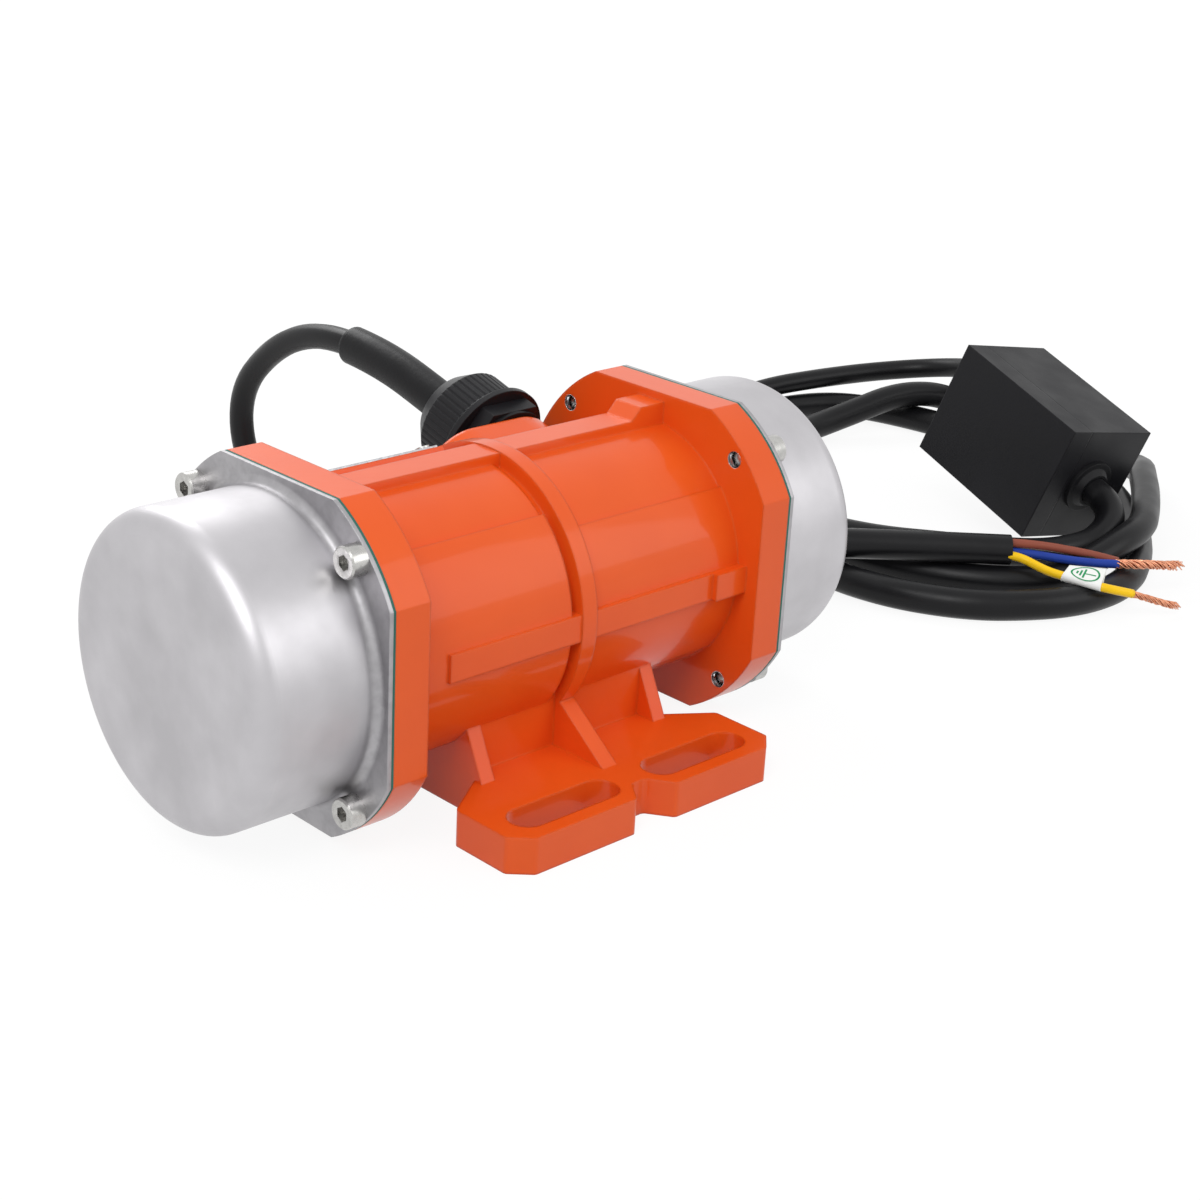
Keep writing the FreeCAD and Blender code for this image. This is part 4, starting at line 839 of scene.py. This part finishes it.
class MOTOR_OT_lay_supply_lead(bpy.types.Operator):
    """Lay the supply lead's loose turns round the box"""

    bl_idname = "motor.lay_supply_lead"
    bl_label = "Lay supply lead"

    def execute(self, context):
        sizes = context.scene.motor_leads
        lead = route_curve("supply_lead_turns", SUPPLY_ROUTE, sizes.supply_radius)
        link(lead, ROOT, "cable_jacket", bpy.data.materials["rubber_jacket"])
        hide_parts("supply_lead", "supply_coil", "supply_tail")
        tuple(SUPPLY_ROUTE[0])
        path_length(centre_line(SUPPLY_ROUTE))
        return {"FINISHED"}


def twisted_strands(name, route, sizes, radius):
    """Bare strands laid round each other, opening a little at the cut end."""
    path = close_path(centre_line(route, 6), 0.5 * MM)
    reached = distances(path)
    inner = 6
    # How many strands lie at each distance from the middle, in radii of a strand.
    layers = ((1, 0.0), (inner, 2.5), (sizes.strand_count - 1 - inner, 5.3))
    wander, swelling, opening, opens_at, cut_step, sides = 0.3, 0.16, 0.6, 0.7, 0.04, 6
    vertices, faces = [], []
    for count, reach in layers:
        for strand in range(count):
            cut = 1 - cut_step * (strand * 3 % 5)
            line = []
            for frame, travelled in zip(frames_along(path), reached):
                share = travelled / reached[-1]
                if share > cut:
                    break
                turn = 2 * math.pi * (strand / count + travelled / sizes.strand_pitch)
                turn += wander * math.sin(strand * 1.7 + 7 * share)
                swell = 1 + swelling * math.sin(strand * 2.4 + 11 * share)
                flare = 1 + opening * max(0, share - opens_at)
                line.append(beside(*frame, turn, radius * reach * swell * flare))
            points, quads = tube(line, itertools.repeat(radius), sides, len(vertices))
            vertices += points
            faces += quads
    return mesh_object(name, vertices, faces)


class MOTOR_OT_strip_ends(bpy.types.Operator):
    """Bring the three cores and their bare strands out of the supply lead"""

    bl_idname = "motor.strip_ends"
    bl_label = "Strip the supply lead's end"

    def execute(self, context):
        colours = context.scene.motor_colours
        sizes = context.scene.motor_leads
        for name, route, tone, node in (
                ("brown", BROWN_ROUTE, colours.brown, "brown_wire"),
                ("blue", BLUE_ROUTE, colours.blue, "blue_wire"),
                ("yellow", YELLOW_ROUTE, colours.yellow, "yellow_wire")):
            path = close_path(centre_line(route), 1 * MM)
            core = mesh_object(f"{name}_core",
                               *tube(path, itertools.repeat(sizes.core_radius), 20))
            link(core, ROOT, f"{name}_insulation",
                 moulded_finish(f"{name}_pvc", tone, 0.25, 0.38, grain_mm=1.5, depth_mm=0.01,
                                edge_mm=0.1, paler=1.1))
            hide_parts(node)
        copper = metal_finish("bare_copper_strand", colours.copper, 0.25, 0.4, 1.2, 0.004, 0.05)
        for name, route, radius, node in (
                ("live_strands", LIVE_ENDS, sizes.live_strand, "live_copper"),
                ("earth_strands", EARTH_ENDS, sizes.earth_strand, "earth_copper")):
            strands = twisted_strands(name, route, sizes, radius)
            link(strands, ROOT, "bare_copper", copper)
            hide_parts(node)
        return {"FINISHED"}


class MOTOR_OT_wrap_label(bpy.types.Operator):
    """Wrap the earth label round the yellow core and print its sign"""

    bl_idname = "motor.wrap_label"
    bl_label = "Wrap earth label"

    def execute(self, context):
        colours = context.scene.motor_colours
        columns, rows = 24, 40
        wrap = 1.4 * MM
        straight = 0.3
        start, stop, far_stop, far_start = (Vector(corner) for corner in LABEL_CORNERS)
        outward = (stop - start).cross(far_start - start).normalized()

        def section(u):
            """The free edge, the angle where the front leaves the core, and points on it."""
            core, free = start.lerp(stop, u), far_start.lerp(far_stop, u)
            rise = free - core
            tangent = math.asin(wrap / rise.length)
            return free, tangent, lambda turn: core + wrap * (
                math.sin(turn) * rise.normalized() + math.cos(turn) * outward)

        def on_label(u, v, lift=0.0):
            """A point of the paper: v runs up the front from the core to the free edge."""
            free, tangent, on_core = section(u)
            return on_core(tangent).lerp(free, v) + outward * lift

        def on_profile(u, t):
            """A point of the whole sheet: up the back, round the core and up the front."""
            if t > 1 - straight:
                return on_label(u, (t - 1 + straight) / straight)
            free, tangent, on_core = section(u)
            share = max(0, (t - straight) / (1 - 2 * straight))
            turn = tangent - (math.pi + 2 * tangent) * (1 - share)
            return free.lerp(on_core(turn), min(1, t / straight))

        vertices = [on_profile(column / columns, row / rows)
                    for row in range(rows + 1) for column in range(columns + 1)]
        faces = []
        for row in range(rows):
            for column in range(columns):
                a = row * (columns + 1) + column
                faces.append((a, a + 1, a + columns + 2, a + columns + 1))
        label = mesh_object("earth_label", vertices, faces)
        solid = label.modifiers.new("Paper", "SOLIDIFY")
        solid.thickness = 0.12 * MM
        solid.offset = 0
        link(label, ROOT, "white_label", paper_finish(colours))
        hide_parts("earth_tag")
        ink = moulded_finish("green_ink", colours.sign, 0.4, 0.5, depth_mm=0.002, edge_mm=0.02)
        link(earth_sign(on_label), ROOT, "white_label", ink)
        return {"FINISHED"}


def earth_sign(on_label):
    """The earth sign in print: a ring round a stem and three bars of falling length."""
    vertices, faces = [], []
    middle_u, middle_v, size_u, size_v = 0.52, 0.42, 0.36, 0.5
    line = 0.14
    under, over = 0.08 * MM, 0.12 * MM

    def add(points):
        """Put each point in on the ink's under side and on its face; the first one's number."""
        start = len(vertices)
        for u, v in points:
            for lift in (under, over):
                vertices.append(on_label(middle_u + u * size_u, middle_v + v * size_v, lift))
        return start

    def bar(x0, y0, x1, y1):
        start = add(((x0, y0), (x1, y0), (x1, y1), (x0, y1)))
        for quad in ((0, 2, 4, 6), (1, 3, 5, 7), (0, 1, 3, 2), (2, 3, 5, 4), (4, 5, 7, 6),
                     (6, 7, 1, 0)):
            faces.append(tuple(start + corner for corner in quad))

    steps = 40
    start = add([(reach * math.cos(turn), reach * math.sin(turn))
                 for turn in turns_of(steps) for reach in (1 - line / 2, 1 + line / 2)])
    for n in range(steps):
        a, b = start + 4 * n, start + 4 * ((n + 1) % steps)
        for quad in ((0, 2), (2, 3), (3, 1), (1, 0)):
            faces.append((a + quad[0], a + quad[1], b + quad[1], b + quad[0]))
    stem, bars, spacing = 0.78, (0.7, 0.46, 0.24), 0.26
    bar(0, -line / 2, stem, line / 2)
    for level, reach in enumerate(bars):
        bar(-spacing * level - line, -reach, -spacing * level, reach)
    return mesh_object("earth_sign", vertices, faces, smooth=False)


class MOTOR_OT_set_stage(bpy.types.Operator):
    """Lay the floor, hang the lamps and aim the camera"""

    bl_idname = "motor.set_stage"
    bl_label = "Set the stage"

    def execute(self, context):
        settings = context.scene.motor_stage
        lay_floor()
        light_world(context.scene, settings)
        low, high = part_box("housing")
        target = (low + high) / 2
        for name, place, power, size in (
                ("key_lamp", (-0.55, -0.35, 0.75), settings.key_power, 0.5),
                ("fill_lamp", (0.45, -0.75, 0.45), settings.fill_power, 0.6),
                ("rim_lamp", (0.2, 0.75, 0.6), settings.rim_power, 0.5)):
            hang_lamp(context, name, target + Vector(place), target, power, size)
        aim_camera(context, settings)
        context.scene.view_settings.view_transform = "Standard"
        return {"FINISHED"}


def lay_floor():
    """A plain pale floor that shows white to the camera but keeps a soft shadow."""
    reach = 6.0
    mesh = bpy.data.meshes.new("studio_floor")
    mesh.from_pydata([(-reach, -reach, FLOOR), (reach, -reach, FLOOR), (reach, reach, FLOOR),
                      (-reach, reach, FLOOR)], [], [(0, 1, 2, 3)])
    floor = bpy.data.objects.new("studio_floor", mesh)
    bpy.context.scene.collection.objects.link(floor)
    material = bpy.data.materials.new("studio_paper")
    material.use_nodes = True
    tree = material.node_tree
    tree.nodes.clear()
    paper = add_node(tree, "ShaderNodeBsdfDiffuse", {"Color": (0.6, 0.6, 0.6, 1)})
    glow = add_node(tree, "ShaderNodeEmission", {"Color": (1, 1, 1, 1), "Strength": 1.1})
    place = add_node(tree, "ShaderNodeNewGeometry").outputs["Position"]
    shadows_end, white_from = 0.35, 0.8
    plain = spread(tree, vector_maths(tree, "LENGTH", place), 0.82, 1.0, shadows_end,
                   white_from)
    share = maths(tree, "MULTIPLY", sees_background(tree), plain)
    mix = add_node(tree, "ShaderNodeMixShader", {0: share, 1: paper.outputs[0],
                                                 2: glow.outputs[0]})
    add_node(tree, "ShaderNodeOutputMaterial", {"Surface": mix.outputs[0]})
    mesh.materials.append(material)


def sees_background(tree):
    """1 for rays that show a background: from the camera, in a gloss or through glass."""
    ray = add_node(tree, "ShaderNodeLightPath").outputs
    shown = ray["Is Camera Ray"]
    for name in ("Is Glossy Ray", "Is Transmission Ray"):
        shown = maths(tree, "MAXIMUM", shown, ray[name])
    return shown


def light_world(scene, settings):
    """White to the camera and an even grey-white light on the object."""
    world = bpy.data.worlds.new("studio")
    scene.world = world
    world.use_nodes = True
    tree = world.node_tree
    tree.nodes.clear()
    seen = add_node(tree, "ShaderNodeBackground", {"Color": (1, 1, 1, 1), "Strength": 1.0})
    lit = add_node(tree, "ShaderNodeBackground", {"Color": (1, 1, 1, 1),
                                                  "Strength": settings.ambient})
    mix = add_node(tree, "ShaderNodeMixShader", {0: sees_background(tree), 1: lit.outputs[0],
                                                 2: seen.outputs[0]})
    add_node(tree, "ShaderNodeOutputWorld", {"Surface": mix.outputs[0]})


def hang_lamp(context, name, place, target, power, size):
    lamp = bpy.data.lights.new(name, "AREA")
    lamp.energy = power
    lamp.size = size
    obj = bpy.data.objects.new(name, lamp)
    obj.location = place
    obj.rotation_mode = "QUATERNION"
    obj.rotation_quaternion = (target - place).to_track_quat("-Z", "Y")
    context.scene.collection.objects.link(obj)


def aim_camera(context, settings):
    """Stand the camera on a line from the frame's origin, slid sideways and up, and rolled."""
    turn, lift = settings.azimuth, settings.elevation
    right = Vector((math.cos(turn), math.sin(turn), 0))
    back = Vector((math.sin(turn) * math.cos(lift), -math.cos(turn) * math.cos(lift),
                   math.sin(lift)))
    up = back.cross(right)
    roll = settings.roll
    rolled_right = right * math.cos(roll) + up * math.sin(roll)
    rolled_up = up * math.cos(roll) - right * math.sin(roll)
    camera = bpy.data.cameras.new("camera")
    camera.lens = settings.lens
    camera.sensor_width = 36
    camera.clip_start = 0.01
    camera.clip_end = 50
    obj = bpy.data.objects.new("camera", camera)
    place = (rolled_right * settings.slide_right + rolled_up * settings.slide_up +
             back * settings.distance)
    turned = Matrix((rolled_right, rolled_up, back)).transposed().to_4x4()
    obj.matrix_world = Matrix.Translation(place) @ turned
    context.scene.collection.objects.link(obj)
    context.scene.camera = obj


class MOTOR_PT_panel(bpy.types.Panel):
    """Sidebar list of the motor's steps and settings"""

    bl_idname = "MOTOR_PT_panel"
    bl_label = "Vibration motor"
    bl_space_type = "VIEW_3D"
    bl_region_type = "UI"
    bl_category = "Motor"

    def draw(self, context):
        for operator in OPERATORS:
            self.layout.operator(operator.bl_idname)
        for group in (context.scene.motor_colours, context.scene.motor_leads,
                      context.scene.motor_screws, context.scene.motor_stage):
            box = self.layout.box()
            for name in group.bl_rna.properties.keys():
                if name not in ("rna_type", "name"):
                    box.prop(group, name)


GROUPS = {"motor_colours": FinishColours, "motor_leads": LeadSizes,
          "motor_screws": ScrewSizes, "motor_stage": StageSettings}
OPERATORS = (MOTOR_OT_finish_casting, MOTOR_OT_finish_inside, MOTOR_OT_finish_gland,
             MOTOR_OT_fit_cover_screws, MOTOR_OT_lay_motor_lead, MOTOR_OT_strip_ends,
             MOTOR_OT_wrap_label, MOTOR_OT_lay_supply_lead, MOTOR_OT_set_stage)
CLASSES = (*GROUPS.values(), *OPERATORS, MOTOR_PT_panel)


def register():
    for cls in CLASSES:
        bpy.utils.register_class(cls)
    for name, group in GROUPS.items():
        setattr(bpy.types.Scene, name, bpy.props.PointerProperty(type=group))


def unregister():
    for name in GROUPS:
        delattr(bpy.types.Scene, name)
    for cls in reversed(CLASSES):
        bpy.utils.unregister_class(cls)


def main():
    register()
    for operator in OPERATORS:
        group, name = operator.bl_idname.split(".")
        getattr(getattr(bpy.ops, group), name)()


if __name__ == "__main__":
    main()
